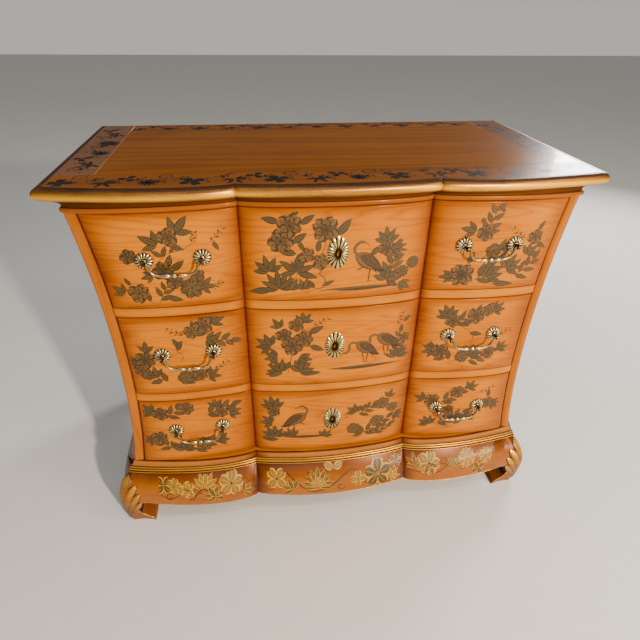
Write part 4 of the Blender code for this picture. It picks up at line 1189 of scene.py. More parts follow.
# One painting: motifs and stems in flat coordinates, in metres. A row names a method and gives its arguments.
class Painting:
    def __init__(self, scale=1.0, rows=()):
        self.motifs, self.stems, self.scale = [], [], scale
        for kind, *row in rows:
            if kind == "stem":
                steps, points, *rest = row
                points = [(x / 1000, z / 1000) for x, z in points]
                rest = [rest[0] / 1000, *rest[1:]] if rest else rest
                self.stem(smoothLine(points, steps) if steps else points, *rest)
            else:
                getattr(self, kind)(*[value / 1000 if i in rowLengths[kind] else value
                                      for i, value in enumerate(row)])

    def add(self, kind, x, z, turn, length, width, hue, layer=1):
        self.motifs.append((x, z, turn, length * self.scale, width * self.scale, kind, hue, layer))

    def leaf(self, x, z, degrees, length, hue=0.1, width=None, layer=1, kind=leafKind):
        self.add(kind, x, z, radians(degrees), length, (width or length * 0.40) / 2, hue, layer)

    def dot(self, x, z, size, hue=0.9, layer=2):
        self.add(dotKind, x - size / 2, z, 0.0, size, size / 2, hue, layer)

    def stem(self, points, width=0.0010, hue=0.95, layer=0, taper=0.4):
        self.stems.append(([Vector(p) for p in points], width, hue, layer, taper))

    # leaves fanned from one root
    def fan(self, x, z, degrees, count, length, sweep=120, hue=0.1, width=None, layer=1):
        for i in range(count):
            lean = (i / (count - 1) - 0.5) if count > 1 else 0.0
            self.leaf(x, z, degrees + sweep * lean, length * (1 - 0.35 * abs(lean)), hue + 0.05 * (i % 3), width,
                      layer + i % 2)

    # a curved stem with leaves on both sides and one at its tip
    def spray(self, x, z, degrees, length, bend=20, count=5, leafLength=0.016, hue=0.1, width=None):
        points, headings = bentPath(x, z, degrees, length, bend)
        self.stem(points)
        for i in range(count):
            at = 2 + int(10 * i / count)
            step = points[at] - points[at - 1]
            lean = (1 if i % 2 else -1) * (46 - 10 * i / count)
            lean += math.degrees(math.atan2(step.y, step.x))
            self.leaf(*points[at], lean, leafLength * (1 - 0.3 * i / count), hue + 0.06 * (i % 3), width, 1 + i % 2)
        self.leaf(*points[-1], math.degrees(headings[-1]), leafLength * 0.85, hue, width)

    # ruffled blossom: three rings of broad petals round a dark heart
    def blossom(self, x, z, radius, petals=7, hue=0.28, heart=0.62, turn=0):
        rings = ((petals, 1.0, hue), (petals - 1, 0.70, (hue + heart) / 2), (petals - 2, 0.44, heart))
        for ring, (count, share, tone) in enumerate(rings):
            for i in range(count):
                a, reach = turn + 31 * ring + 360 * i / count, radius * share
                self.add(petalKind, x, z, radians(a), reach * (0.92 + 0.12 * (i % 2)),
                         reach * sin(pi / count) * 1.35, tone + 0.05 * (i % 2), 2 + 2 * ring + i % 2)
        self.dot(x, z, radius * 0.22, 0.95, 8)

    # flat blossom of a few broad petals with gold rims
    def clover(self, x, z, radius, petals=4, hue=0.1, turn=45, heart=0.9):
        for i in range(petals):
            width = radius * min(0.52, sin(pi / petals) * 0.92)
            self.add(petalKind, x, z, radians(turn + 360 * i / petals), radius, width, hue, 2 + i % 2)
        self.dot(x, z, radius * 0.2, heart, 5)

    def twig(self, x, z, degrees, length, bend=-20, buds=5, hue=0.15, size=0.0028):
        points, headings = bentPath(x, z, degrees, length, bend)
        for i, heading in enumerate(headings):
            if i % 3 == 2 or i == 11:
                place, side = points[i + 1], 1 if i % 2 else -1
                tip = place + towards(heading + side * 0.9, 0.005)
                self.stem([place, tip], 0.0006)
                self.dot(*tip, size, hue if buds % 2 else 0.6, 2)
                self.leaf(*place, math.degrees(heading - side * 0.8), 0.008, hue, 0.0032)
        self.stem(points, 0.0008)

    # wading bird in brush strokes, standing upright or with its head down to feed
    def bird(self, x, z, size, facing=1, feeding=False):
        def at(a, b):
            return Vector((x + facing * a * size, z + b * size))

        def stroke(kind, a, b, degrees, length, width, hue, layer):
            degrees = degrees if facing > 0 else 180 - degrees
            self.leaf(*at(a, b), degrees, length * size, hue, width * size, layer, kind)

        stroke(longKind, -0.06, 0.07, -33, 1.02, 0.46, 0.30, 3)
        stroke(longKind, 0.10, 0.03, -36, 0.88, 0.28, 0.72, 5)
        for i in range(5):
            stroke(leafKind, 0.42 + 0.05 * i, -0.20 - 0.055 * i, -62 + 9 * i, 0.46 - 0.04 * i, 0.085,
                   0.80 + 0.04 * i, 4)
        if feeding:
            neck = ((0.02, 0.02), (-0.14, 0.07), (-0.27, -0.02), (-0.26, -0.20), (-0.36, -0.34), (-0.42, -0.36))
            rearLeg = ((0.34, -0.24), (0.22, -0.42), (0.30, -0.80))
            stroke(leafKind, -0.36, -0.33, 200, 0.14, 0.075, 0.34, 5)
            stroke(leafKind, -0.46, -0.37, 228, 0.20, 0.024, 0.95, 5)
        else:
            neck = ((0.04, 0.04), (-0.06, 0.14), (-0.06, 0.27), (0.02, 0.37), (0.10, 0.42), (0.17, 0.42))
            rearLeg = ((0.36, -0.24), (0.20, -0.36), (0.06, -0.42))
            stroke(leafKind, 0.08, 0.42, -4, 0.17, 0.085, 0.30, 5)
            stroke(leafKind, 0.20, 0.42, -34, 0.24, 0.024, 0.95, 5)
        self.stem(smoothLine([at(*p) for p in neck], 5), size * 0.095, 0.30, 3, 0.6)
        for leg in (((0.42, -0.26), (0.41, -0.50), (0.38, -0.80)), rearLeg):
            points = [at(*p) for p in leg]
            self.stem(points, size * 0.038, 0.9, 2, 0.8)
            toes = [points[-1] + Vector(p) * size for p in ((-0.05, -0.01), (0.07, -0.01))]
            self.stem(toes, size * 0.022, 0.9, 2, 0.8)

    def ground(self, x, z, length, hue=0.16):
        self.leaf(x - length / 2, z, 0, length, hue, 0.0075, 1, longKind)
        self.leaf(x - length * 0.36, z - 0.003, 1, length * 0.8, 0.75, 0.0045, 2, longKind)

    def curl(self, x, z, degrees, size, turns=1.1, side=1, width=0.0012, hue=0.95):
        points, start = [], radians(degrees)
        middleX, middleZ = x + size * cos(start), z + size * sin(start)
        for i in range(22):
            t = i / 21
            a, reach = start + side * (pi * 2 * turns * t), size * (1 - 0.75 * t)
            points.append((middleX - reach * cos(a), middleZ - reach * sin(a)))
        self.stem(points, width, hue, 0, 0.5)


def smoothLine(points, steps):
    return [Vector((p.x, p.y)) for p in catmull([(p[0], p[1], 0) for p in points], steps)]


# Lays a painting on a surface. "onto" turns flat coordinates and a lift into a place on the object.
def layPainting(name, painting, onto, material, body, film=0.00016, layerStep=0.00003, keep=None,
                shapes=None):
    carrier = bpy.data.meshes.new(name)
    columns = list(zip(*painting.motifs))
    carrier.from_pydata([(x, z, 0) for x, z in zip(*columns[:2])], [], [])
    for key, column, kind in (("turn", 2, "FLOAT"), ("kind", 5, "INT"), ("hue", 6, "FLOAT"), ("layer", 7, "FLOAT")):
        mark(carrier, key, columns[column], kind)
    mark(carrier, "size", [c for m in painting.motifs for c in (m[3], m[4], 1.0)], "FLOAT_VECTOR")
    mesh = runTree(motifsOnPoints, carrier, {"Motifs": shapes or motifs, "Material": material})
    flat = [tuple(v.co) for v in mesh.vertices]  # the third number is carved height
    uvs = [tuple(d.vector) for d in mesh.attributes["paintUv"].data]
    hues, layers = ([d.value for d in mesh.attributes[key].data] for key in ("hue", "layer"))
    faces = [tuple(p.vertices) for p in mesh.polygons]
    for points, width, hue, layer, taper in painting.stems:
        start, steps = len(flat), len(points) - 1
        total = sum((points[i + 1] - points[i]).length for i in range(steps))
        for i, point in enumerate(points):
            step = points[min(steps, i + 1)] - points[max(0, i - 1)]
            across = Vector((-step.y, step.x)).normalized()
            half = width / 2 * (1 - (1 - taper) * abs(2 * i / steps - 1) ** 2)
            flat += [(point.x + across.x * half * v, point.y + across.y * half * v, 0) for v in (-1, 1)]
            uvs += [(0.45 * v, i / steps * total / 0.02, 2.0) for v in (-1, 1)]
        hues += [hue] * (2 * len(points))
        layers += [float(layer)] * (2 * len(points))
        faces += [(a, a + 1, a + 3, a + 2) for a in range(start, start + 2 * steps, 2)]
    if keep:
        faces = [face for face in faces if all(keep(*flat[i][:2]) for i in face)]
    used = sorted({i for face in faces for i in face})
    fresh, total = {old: new for new, old in enumerate(used)}, len(used)
    faces = [tuple(fresh[i] for i in face) for face in faces]
    top = [onto(*flat[i][:2], film + layerStep * layers[i] + flat[i][2]) for i in used]
    floor = [onto(*flat[i][:2], -0.00005) for i in used]
    edges = dict.fromkeys(pair for face in faces for pair in zip(face, face[1:] + face[:1]))
    walls = [(a, b, b + total, a + total) for a, b in edges if (b, a) not in edges]
    under = [tuple(i + total for i in reversed(face)) for face in faces]
    piece = makePiece(name, top + floor, faces + under + walls, material, 40)
    if shapes:
        # painted light on the knee leaf: brighter towards each lobe's tip and along its middle, dark at its edges
        rub = [(0.15 + 0.72 * uvs[i][1]) * (1 - abs(uvs[i][0]) ** 3) for i in used]
        mark(piece.data, "rub", rub + [0.0] * total)
    else:
        mark(piece.data, "paintUv", [c for i in used for c in uvs[i]] * 2, "FLOAT_VECTOR")
        mark(piece.data, "hue", [hues[i] for i in used] * 2)
    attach(piece, body)
    print(name, "painted")


# Oil and bronze-powder paint under thin varnish: flat, slightly proud, with dark drawn outlines
def oilPaint(name, look):
    material, add, shader, place = newMaterial(name)
    uv = add("SeparateXYZ", add("Attribute", {"attribute_name": "paintUv"}).outputs["Vector"]).outputs
    hue = add("Attribute", {"attribute_name": "hue"}).outputs["Fac"]
    across = add("ABSOLUTE", uv["X"])
    rimLine = add("MapRange", add("SUBTRACT", across, uv["Z"]), {"From Min": -0.10, "From Max": 0.08})
    spine = add("MULTIPLY", add("MapRange", across, {"From Min": 0.10, "From Max": 0.04}), look["spine"])
    slant = add("MULTIPLY_ADD", across, -0.22, uv["Y"])
    beat = add("PINGPONG", add("MULTIPLY", slant, 5.0), 0.5)
    veins = add("MapRange", beat, {"From Min": 0.10, "From Max": 0.02, "To Max": look["veins"]})
    ink = add("MAXIMUM", add("MAXIMUM", rimLine, veins), spine)
    wearAndPaintedLight = add("TexNoise", {"Scale": 240.0, "Detail": 3.0, "Vector": place})
    fill = add("ValToRGB", {"stops": look["pigments"]}, add("MULTIPLY_ADD", wearAndPaintedLight, 0.16, hue))
    inks = add("ValToRGB", {"stops": look["inks"]}, hue)
    setNode(shader, {
        "Base Color": add("Mix", {"data_type": "RGBA", 0: ink, 6: fill, 7: inks}).outputs[2],
        "Roughness": add("MapRange", wearAndPaintedLight, {"To Min": 0.32, "To Max": 0.5}),
        "Normal": add("Bump", {"Strength": 0.1, "Distance": 0.0001, "Height": ink}),
        "Specular IOR Level": 0.25, "Coat Weight": 0.2, "Coat Roughness": 0.12})
    return material


# Drawers: olive greens and browns with dark veins, matt beside the lacquer
facePaint = oilPaint("olive_oil_paint", {
    "veins": 0.7, "spine": 0.9, "inks": [(0, "241806"), (1, "1C1206")],
    "pigments": [(0, "3E320E"), (0.25, "503C12"), (0.45, "684614"), (0.65, "5E3E0C"),
                 (0.85, "382608"), (1, "241806")]})
# Bronze powder in varnish: leaves either dark with a gold line or gold with a dark one
apronPaint = oilPaint("bronze_oil_paint", {
    "veins": 0.5, "spine": 0.6,
    "inks": [(0, "B07C10"), (0.34, "B07C14"), (0.36, "BC8C26"), (0.80, "B48420"), (0.84, "241606"),
             (1, "201406")],
    "pigments": [(0, "2A220A"), (0.25, "382C0C"), (0.45, "6C4C0E"), (0.65, "7C580E"), (0.80, "5A2E0C"),
                 (1, "241606")]})
# Top border: near-black lines and leaves, only the leaves' middles a little brown
borderPaint = oilPaint("black_oil_paint", {
    "veins": 0.4, "spine": 0.5, "inks": [(0, "080604"), (1, "060504")],
    "pigments": [(0, "0C0A06"), (0.25, "120E08"), (0.45, "241A0C"), (0.65, "1A0A06"), (0.85, "0A0806"),
                 (1, "060403")]})


# Where flat paint coordinates land on the object
def onDrawer(x, z, lift):
    return x, frontY - surfaceReach(x, z) - lift, z


def onApron(x, z, lift):
    return apronPoint(stationAt(x, moldingHalf), z, lift)


def onBorder(x, y, lift):
    return x, y, topZ - border["sink"] + lift


def insideDrawer(low, high):
    return lambda x, z: (low + 0.003 < z < high - 0.003 and abs(x) < stileInner(z) - 0.005
                         and fromGroove(x) > 0.004)


def insideApron(x, z):
    return (apronLow(stationAt(x, moldingHalf)) + 0.003 < z < apronTop - 0.002 and abs(x) < 0.384
            and fromGroove(x) > 0.004)


def insideBorder(x, y):
    edgeY = frontY - edgeReach(stationAt(x, topHalf))
    inFrame = edgeY + 0.002 < y < backY - 0.002 and abs(x) < topHalf - 0.002
    inField = abs(x) < fieldHalf and fieldFront - 0.002 < y < fieldRear + 0.002
    onJoint = (abs(abs(x) - fieldHalf) < 0.0016 and y > fieldFront
               or abs(x) > fieldHalf and abs(y - fieldFront) < 0.0012)
    return inFrame and not inField and not onJoint and fromGroove(x) > 0.0005


# Sprays of leaves, blossoms and birds for each drawer and the apron, lengths in millimetres
upperRows = [
    ("fan", -302, 668, 150, 3, 34, 95), ("blossom", -284, 681, 17, 6), ("fan", -272, 688, 52, 3, 36, 105, .06),
    ("leaf", -284, 667, -24, 26, .12), ("stem", 5, ((-312, 630), (-290, 650), (-262, 658), (-244, 668),
                 (-222, 664))),
    ("fan", -297, 646, 108, 2, 26, 75), ("leaf", -285, 653, 45, 15, .2), ("twig", -248, 666, 60, 20, 20),
    ("twig", -222, 664, 35, 36, 15, 4), ("leaf", -213, 668, -62, 20, .12), ("blossom", -352, 648, 14, 5, .55, .66),
    ("stem", 4, ((-352, 648), (-366, 656), (-376, 652)), .7), ("blossom", -300, 619, 18, 6, .5, .68, 20),
    ("leaf", -288, 618, 38, 32, .08), ("leaf", -293, 622, 72, 30, .16), ("fan", -318, 612, 196, 3, 22, 80, .12),
    ("spray", -322, 556, 150, 52, -30, 4, 22, .08), ("blossom", -346, 578, 19, 7, .34, .5),
    ("fan", -370, 578, 142, 3, 26, 90, .14), ("spray", -314, 556, 72, 42, -18, 5, 24, .08),
    ("leaf", -300, 567, -14, 28), ("blossom", -282, 598, 15, 5, .42, .66),
    ("stem", 4, ((-296, 572), (-298, 590), (-288, 598)), .8), ("blossom", -256, 583, 21, 13, .1, .3),
    ("fan", -238, 585, 20, 4, 26, 150, .12), ("blossom", -243, 606, 12, 5, .36, .62),
                 ("twig", -226, 578, 12, 22, 30),
    ("blossom", -83, 692, 22, 7, .32, .62), ("leaf", -100, 698, 166, 32, .08), ("leaf", -78, 708, 62, 26, .12),
    ("leaf", -66, 694, 34, 30, .08), ("blossom", -99, 664, 22, 6, .32, .6, 30), ("leaf", -80, 660, 36, 32),
    ("leaf", -72, 640, 168, 34, .14), ("blossom", -22, 684, 24, 8, .36, .66, 10), ("leaf", -2, 672, 52, 38),
    ("leaf", -16, 655, 14, 26, .12), ("stem", 4, ((-22, 670), (-24, 648), (-34, 632))),
    ("blossom", -54, 637, 14, 5, .28, .46), ("blossom", -30, 624, 15, 5, .34, .5, 30),
    ("leaf", -36, 642, 82, 26, .14), ("leaf", -60, 646, 116, 22), ("leaf", -73, 605, 142, 38, .11, 12.92, 1),
    ("leaf", -73, 605, 112, 24, .11, 8.16, 1), ("leaf", -73, 605, 66, 40, .06, 13.6, 1),
    ("leaf", -73, 605, 22, 36, .11, 12.24, 1), ("leaf", -73, 605, 190, 32, .11, 10.88, 1),
    ("leaf", -73, 605, -18, 40, .06, 13.6, 1), ("leaf", -73, 605, 84, 36, .06, 12.24, 1),
    ("stem", 4, ((-73, 605), (-75, 588), (-85, 570))), ("fan", -121, 606, 104, 5, 34, 150, .08, 12),
    ("fan", -104, 572, 96, 7, 40, 176, .1, 12), ("fan", -86, 570, 84, 5, 30, 120, .16, 11),
    ("leaf", -116, 570, 186, 42, .06, 14), ("fan", -58, 570, 96, 4, 26, 100, .12, 10),
    ("stem", 5, ((-40, 570), (-26, 574), (-22, 590), (-32, 602), (-18, 616)), 2.2, .3, 1),
    ("leaf", -40, 572, 128, 24), ("leaf", -28, 576, 24, 26, .14, 8), ("bird", 34, 632, 62), ("ground", 52, 568, 150),
    ("stem", 0, ((-60, 562), (-20, 567), (52, 570)), 1.4), ("fan", 88, 656, 96, 5, 30, 140, .1, 11),
    ("blossom", 88, 643, 15, 6, .5, .66), ("fan", 96, 642, -12, 5, 34, 90, .16, 9), ("leaf", 77, 648, 222, 28),
    ("spray", 92, 578, 72, 58, 6, 6, 32, .1, 11), ("fan", 92, 580, 60, 6, 34, 190, .08, 12),
    ("stem", 5, ((94, 582), (116, 586), (136, 602))), ("clover", 122, 594, 13, 5, .16, 20),
    ("clover", 141, 610, 13, 6, .14, 0, .3), ("fan", 118, 572, -34, 3, 28, 70, .14),
    ("spray", 262, 650, 62, 70, 22, 7, 28, .1, 10), ("blossom", 268, 664, 16, 6, .42, .66),
    ("dot", 259, 688, 10, .66), ("dot", 292, 706, 8, .66), ("fan", 250, 668, 168, 3, 30, 80),
    ("blossom", 290, 628, 16, 11, .12, .34), ("fan", 300, 634, 20, 3, 26, 80, .12),
    ("blossom", 366, 652, 15, 6, .36, .62), ("twig", 352, 650, 160, 36, -20), ("leaf", 368, 664, 60, 22),
    ("leaf", 372, 640, -30, 24, .14), ("blossom", 238, 580, 24, 8, .36, .68), ("fan", 222, 578, 186, 3, 28, 70),
    ("leaf", 246, 602, 72, 28, .12), ("spray", 258, 566, 26, 60, 30, 6, 34, .08, 11),
    ("fan", 288, 572, 60, 6, 36, 150, .1, 11), ("fan", 322, 590, 48, 6, 36, 150, .12, 11),
    ("spray", 336, 572, 20, 50, 40, 5, 30, .1, 10), ("fan", 358, 616, 64, 4, 30, 110, .14, 10),
    ("leaf", 300, 560, -4, 44, .1, 12)]
middleRows = [
    ("spray", -272, 476, 58, 62, -24, 6, 30, .08, 12), ("blossom", -246, 502, 18, 6, .4, .62),
    ("blossom", -268, 492, 15, 7, .3, .55), ("fan", -232, 508, 40, 4, 30), ("twig", -276, 486, 168, 36, -16),
    ("fan", -244, 470, -12, 5, 30, 120, .08), ("spray", -250, 468, 4, 50, -14, 5, 28, .14, 11),
    ("leaf", -292, 456, 118, 28), ("leaf", -300, 452, 62, 26, .14),
    ("stem", 4, ((-300, 452), (-290, 440), (-296, 424))), ("blossom", -360, 434, 20, 7, .46, .66),
    ("fan", -376, 428, 200, 4, 30), ("fan", -356, 452, 88, 3, 26, 90, .12), ("blossom", -372, 408, 14, 6, .36, .6),
    ("spray", -318, 378, 160, 54, -18, 5, 28, .1, 12), ("fan", -344, 394, 120, 4, 28, 120, .14),
    ("spray", -306, 378, 26, 50, -10, 6, 26, .08, 11), ("blossom", -290, 388, 17, 10, .14, .34),
    ("blossom", -262, 392, 14, 6, .4, .62), ("fan", -248, 388, 8, 4, 28, 130), ("twig", -240, 398, 24, 34, 14),
    ("blossom", -82, 446, 22, 7, .34, .62), ("blossom", -60, 462, 19, 7, .3, .58, 20),
    ("blossom", -98, 470, 16, 6, .38, .64), ("blossom", -74, 494, 15, 6, .34, .6), ("fan", -62, 500, 70, 4, 26),
    ("fan", -104, 488, 126, 3, 26, 90, .12), ("leaf", -52, 474, 28, 34), ("leaf", -50, 446, -24, 32, .14),
    ("fan", -124, 446, 150, 5, 34, 150, .08, 12), ("fan", -112, 420, 176, 4, 30, 110, .12, 11),
    ("fan", -70, 418, -30, 4, 30, 100, .1, 12), ("stem", 5, ((-84, 440), (-86, 412), (-92, 382)), 1.6),
    ("fan", -104, 384, 132, 6, 36, 150, .08, 12), ("fan", -70, 382, 60, 6, 36, 150, .12, 12),
    ("leaf", -102, 380, 184, 36, .06, 12), ("leaf", -66, 380, -2, 40, .1, 12), ("twig", -46, 486, 40, 36, -12, 4),
    ("bird", 44, 442, 56, 1, True), ("bird", 86, 456, 58, 1, True), ("ground", 64, 386, 160),
    ("stem", 0, ((-36, 382), (10, 388), (70, 389)), 1.4), ("fan", 130, 398, 84, 6, 34, 150, .1, 10),
    ("spray", 128, 400, 80, 56, 8, 6, 26, .12, 9), ("twig", 124, 472, 64, 30, 20),
    ("blossom", 142, 444, 12, 6, .42, .62), ("leaf", 136, 482, 40, 20), ("fan", 228, 486, 110, 5, 32, 130, .08),
    ("blossom", 238, 478, 16, 6, .42, .64), ("spray", 236, 470, 22, 70, 12, 7, 28, .1, 10),
    ("blossom", 284, 488, 19, 7, .36, .62), ("blossom", 306, 500, 14, 6, .3, .56),
    ("fan", 318, 500, 20, 4, 26, 120, .12), ("stem", 5, ((236, 470), (262, 462), (284, 440), (282, 420))),
    ("leaf", 266, 462, 70, 22, .12), ("leaf", 276, 448, -10, 28), ("fan", 208, 408, 176, 4, 28, 130),
    ("blossom", 222, 404, 18, 7, .46, .66), ("spray", 250, 378, 150, 50, -14, 5, 28, .1, 11),
    ("fan", 286, 388, 66, 6, 34, 150, .08, 11), ("blossom", 270, 390, 16, 9, .16, .4),
    ("spray", 276, 376, 12, 62, 14, 6, 28, .12, 10), ("blossom", 326, 396, 14, 6, .38, .62),
    ("fan", 346, 402, 34, 4, 26, 110), ("twig", 330, 430, 40, 36, -20)]
lowerRows = [
    ("fan", -368, 302, 150, 4, 30), ("blossom", -354, 298, 17, 6, .46, .64),
    ("spray", -350, 288, 24, 60, 16, 6, 28, .1, 11), ("blossom", -300, 308, 16, 7, .34, .6),
    ("spray", -270, 282, 30, 62, -16, 7, 30, .08, 12), ("fan", -244, 304, 70, 4, 26, 120, .14),
    ("blossom", -232, 288, 14, 6, .4, .62), ("fan", -216, 284, -6, 4, 28, 110),
    ("blossom", -364, 232, 18, 7, .36, .62), ("fan", -378, 226, 196, 3, 26, 100),
    ("spray", -330, 194, 152, 50, -20, 5, 26, .1, 11), ("fan", -318, 192, 80, 6, 34, 150, .08, 12),
    ("spray", -306, 190, 16, 66, 14, 7, 28, .12, 11), ("blossom", -272, 208, 18, 9, .18, .44),
    ("fan", -246, 208, 20, 4, 28, 110), ("leaf", -322, 226, 96, 28, .12),
    ("fan", -124, 286, 100, 5, 36, 120, .08, 12), ("blossom", -124, 278, 14, 6, .44, .64),
    ("stem", 5, ((-124, 280), (-130, 240), (-118, 204)), 1.4), ("fan", -128, 246, 160, 4, 30, 120, .1, 11),
    ("fan", -124, 204, 104, 6, 36, 160, .08, 12), ("leaf", -116, 196, 178, 36, .1, 12), ("bird", -58, 266, 60, -1),
    ("ground", -54, 204, 110), ("stem", 0, ((-110, 196), (-60, 203), (10, 205)), 1.4),
    ("fan", -86, 204, 112, 5, 30, 110, .12, 9), ("fan", -18, 200, 66, 4, 26, 110, .14, 9),
    ("fan", 52, 262, 120, 4, 28, 120, .1, 11), ("spray", 52, 256, 20, 40, 18, 5, 26, .1, 10),
    ("blossom", 110, 278, 17, 11, .22, .44), ("blossom", 134, 262, 14, 9, .26, .46),
    ("fan", 122, 292, 70, 3, 24, 90, .12), ("fan", 140, 240, -30, 4, 26, 110), ("blossom", 48, 216, 16, 11, .2, .44),
    ("blossom", 100, 230, 16, 10, .24, .46), ("spray", 62, 196, 22, 70, 16, 7, 28, .08, 11),
    ("fan", 70, 198, 150, 4, 30, 90, .12, 10), ("spray", 90, 190, 40, 44, -20, 5, 24, .12, 10),
    ("blossom", 222, 272, 18, 8, .34, .62), ("fan", 206, 276, 160, 3, 26, 100),
    ("spray", 236, 262, 30, 66, 8, 7, 28, .1, 11), ("blossom", 276, 294, 16, 7, .4, .62),
    ("fan", 300, 302, 40, 4, 26, 130, .12), ("twig", 322, 286, 10, 36, 20), ("blossom", 262, 242, 14, 6, .46, .66),
    ("fan", 250, 240, 196, 3, 24, 90), ("spray", 232, 204, 16, 70, 12, 7, 28, .1, 11),
    ("fan", 224, 200, 118, 5, 30, 130, .08, 11), ("blossom", 286, 214, 17, 9, .2, .44),
    ("fan", 308, 216, 34, 4, 28, 120, .12), ("blossom", 352, 254, 16, 7, .38, .62),
    ("fan", 362, 250, -20, 4, 26, 110), ("leaf", 352, 270, 96, 24)]
bandRows = [
    ("stem", 6, ((-380, 94), (-356, 86), (-330, 96), (-312, 82), (-290, 104), (-262, 92), (-236, 100),
                 (-204, 122), (-186, 104)), 2.2, .9, 0),
    ("clover", -372, 114, 14, 4, .1, 45, .5), ("curl", -350, 92, 200, 10, 1.1, 1, 1.8),
    ("clover", -350, 112, 12, 5, .48, 0), ("blossom", -322, 104, 13, 6, .4, .62),
    ("curl", -306, 96, 20, 10, 1, -1, 1.8), ("fan", -282, 108, 86, 7, 26, 170, .44, 8),
    ("fan", -262, 86, 100, 6, 20, 240, .08, 10), ("clover", -226, 110, 20, 5, .5, 10),
    ("fan", -200, 88, 20, 4, 20, 130, .1, 8), ("dot", -250, 120, 5, .5), ("dot", -300, 122, 5, .5),
    ("stem", 6, ((-158, 92), (-136, 84), (-112, 122), (-86, 104), (-52, 76), (-12, 82), (24, 108), (52, 116),
                 (80, 82), (130, 76), (156, 100)), 2.4, .9, 0),
    ("clover", -126, 108, 18, 4, .46, 45), ("fan", -90, 84, 140, 4, 22, 150, .1, 9),
    ("fan", -34, 90, 90, 9, 30, 210, .1, 10), ("fan", -34, 90, 90, 6, 18, 150, .5, 6, 3),
    ("curl", -66, 114, 0, 11, 1.1, 1, 1.8), ("leaf", 2, 124, 24, 18, .5, 12), ("leaf", 2, 124, 156, 18, .48, 12),
    ("curl", 28, 84, 180, 10, 1, -1, 1.8), ("clover", 58, 96, 13, 4, .48, 0),
                 ("clover", 104, 100, 24, 5, .1, 18, .6),
    ("fan", 100, 128, 60, 3, 18, 130, .5, 7), ("fan", 136, 86, 20, 4, 20, 150, .46, 8),
    ("clover", 148, 118, 11, 5, .12, 0),
    ("stem", 6, ((176, 98), (200, 92), (232, 86), (262, 98), (290, 120), (318, 96), (350, 100),
                 (378, 118)), 2.2, .9, 0),
    ("fan", 194, 104, 80, 6, 24, 190, .12, 7), ("clover", 226, 110, 20, 5, .48, 0),
    ("fan", 226, 108, -90, 4, 19, 150, .1, 10, 3), ("curl", 252, 114, 10, 10, 1, 1, 1.8),
    ("spray", 264, 100, 30, 36, -30, 7, 14, .12, 6), ("clover", 318, 114, 16, 7, .5, 0),
    ("twig", 300, 90, 10, 30, 40, 4, .46), ("clover", 346, 86, 12, 4, .12, 30, .5),
    ("clover", 366, 112, 13, 5, .52, 10), ("curl", 340, 118, 180, 8, 1, 1, 1.6)]
for number, rows in ((1, lowerRows), (2, middleRows), (3, upperRows)):
    low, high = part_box(f"drawer_{number}_front")
    layPainting(f"painting_{number}", Painting(1.0, rows), onDrawer, facePaint, f"drawer_{number}",
                keep=insideDrawer(low.z, high.z))
layPainting("paintingApron", Painting(1.32, bandRows), onApron, apronPaint, "case", 0.00014, 0.00002,
            insideApron)


# Border: a thin black vine winding along each strip, with a small open motif at every turn
def vine(painting, places, width, kinds, seed):
    painting.stem(smoothLine(places, 6), 0.0016)
    chance = np.random.default_rng(seed)
    for i in range(len(places) - 1):
        here, there = Vector(places[i]), Vector(places[i + 1])
        step, between = there - here, (here + there) / 2
        side, along = (1 if i % 2 else -1), math.degrees(math.atan2(step.y, step.x))
        away = between + Vector((-step.y, step.x)).normalized() * width * 0.30 * side
        kind, x, y = kinds[i % len(kinds)], here.x, here.y
        painting.curl(*between, along + 90 * side, width * 0.12, 1.0, -side, 0.0015)
        painting.dot(*away, width * 0.08)
        painting.leaf(*between, along + 130 * side, width * 0.24, width=width * 0.09)
        if kind in ("clover", "bud"):
            count, size = (4 + i % 2, width * 0.36) if kind == "clover" else (3, width * 0.28)
            for k in range(count):
                painting.add(petalKind, x, y, 0.35 * i + 2 * pi * k / count, size, size * 0.42, 0.1, 2)
        elif kind == "curl":
            painting.curl(x, y, along + 180 * (i % 2), width * 0.24, 1.15, side, 0.0020)
            for k in range(5):
                turn = chance.uniform(0, 0.8) + 1.26 * k
                painting.dot(x + width * 0.33 * cos(turn), y + width * 0.30 * sin(turn), width * 0.07)
        elif kind == "leaves":
            painting.fan(x, y, along + 90 * side, 5, width * 0.46, 220, 0.1, width * 0.12)
        elif kind == "mum":
            painting.fan(x, y, along, 12, width * 0.34, 330, 0.6, width * 0.09)
            painting.dot(x, y, width * 0.12)
        else:
            painting.twig(x, y, along + 30, width * 0.7, 60, size=width * 0.07)


def swing(i, reach):
    return reach if i % 2 else -reach


ornament = Painting()
kinds = ("clover", "curl", "leaves", "bud", "mum", "curl", "clover", "twig", "leaves", "bud")
places = []
for i, x in enumerate(spread(-0.438, 0.438, 27)):
    edgeY = frontY - edgeReach(stationAt(x, topHalf))
    places.append((x, (edgeY + fieldFront) / 2 + swing(i, 0.011)))
vine(ornament, places, 0.058, kinds, 3)
places = [(x, backY - border["rear"] / 2 + swing(i, 0.010)) for i, x in enumerate(spread(-0.384, 0.384, 24))]
vine(ornament, places, 0.050, kinds[2:] + kinds[:2], 5)
for sign in (-1, 1):
    x = sign * (topHalf - border["width"] / 2)
    places = [(x + swing(i, 0.012), y) for i, y in enumerate(spread(fieldFront + 0.022, 0.236, 10))]
    vine(ornament, places, 0.060, kinds[1:] + kinds[:1], 7 + sign)
layPainting("paintingBorder", ornament, onBorder, borderPaint, "case", 0.00008, 0.00002, insideBorder)
print("paintings done")


# Gilt lines follow an edge: a round rod swept along a row of points
def lineTree():
    add, start, finish = newTree("gilt line along a path", [("Radius", "Float")])
    ring = add("CurvePrimitiveCircle", {"Resolution": 8, "Radius": start["Radius"]})
    rod = add("CurveToMesh", add("MeshToCurve", start["Geometry"]), ring, {"Fill Caps": True})
    return finish(add("MergeByDistance", rod, {"Distance": 0.00001}))


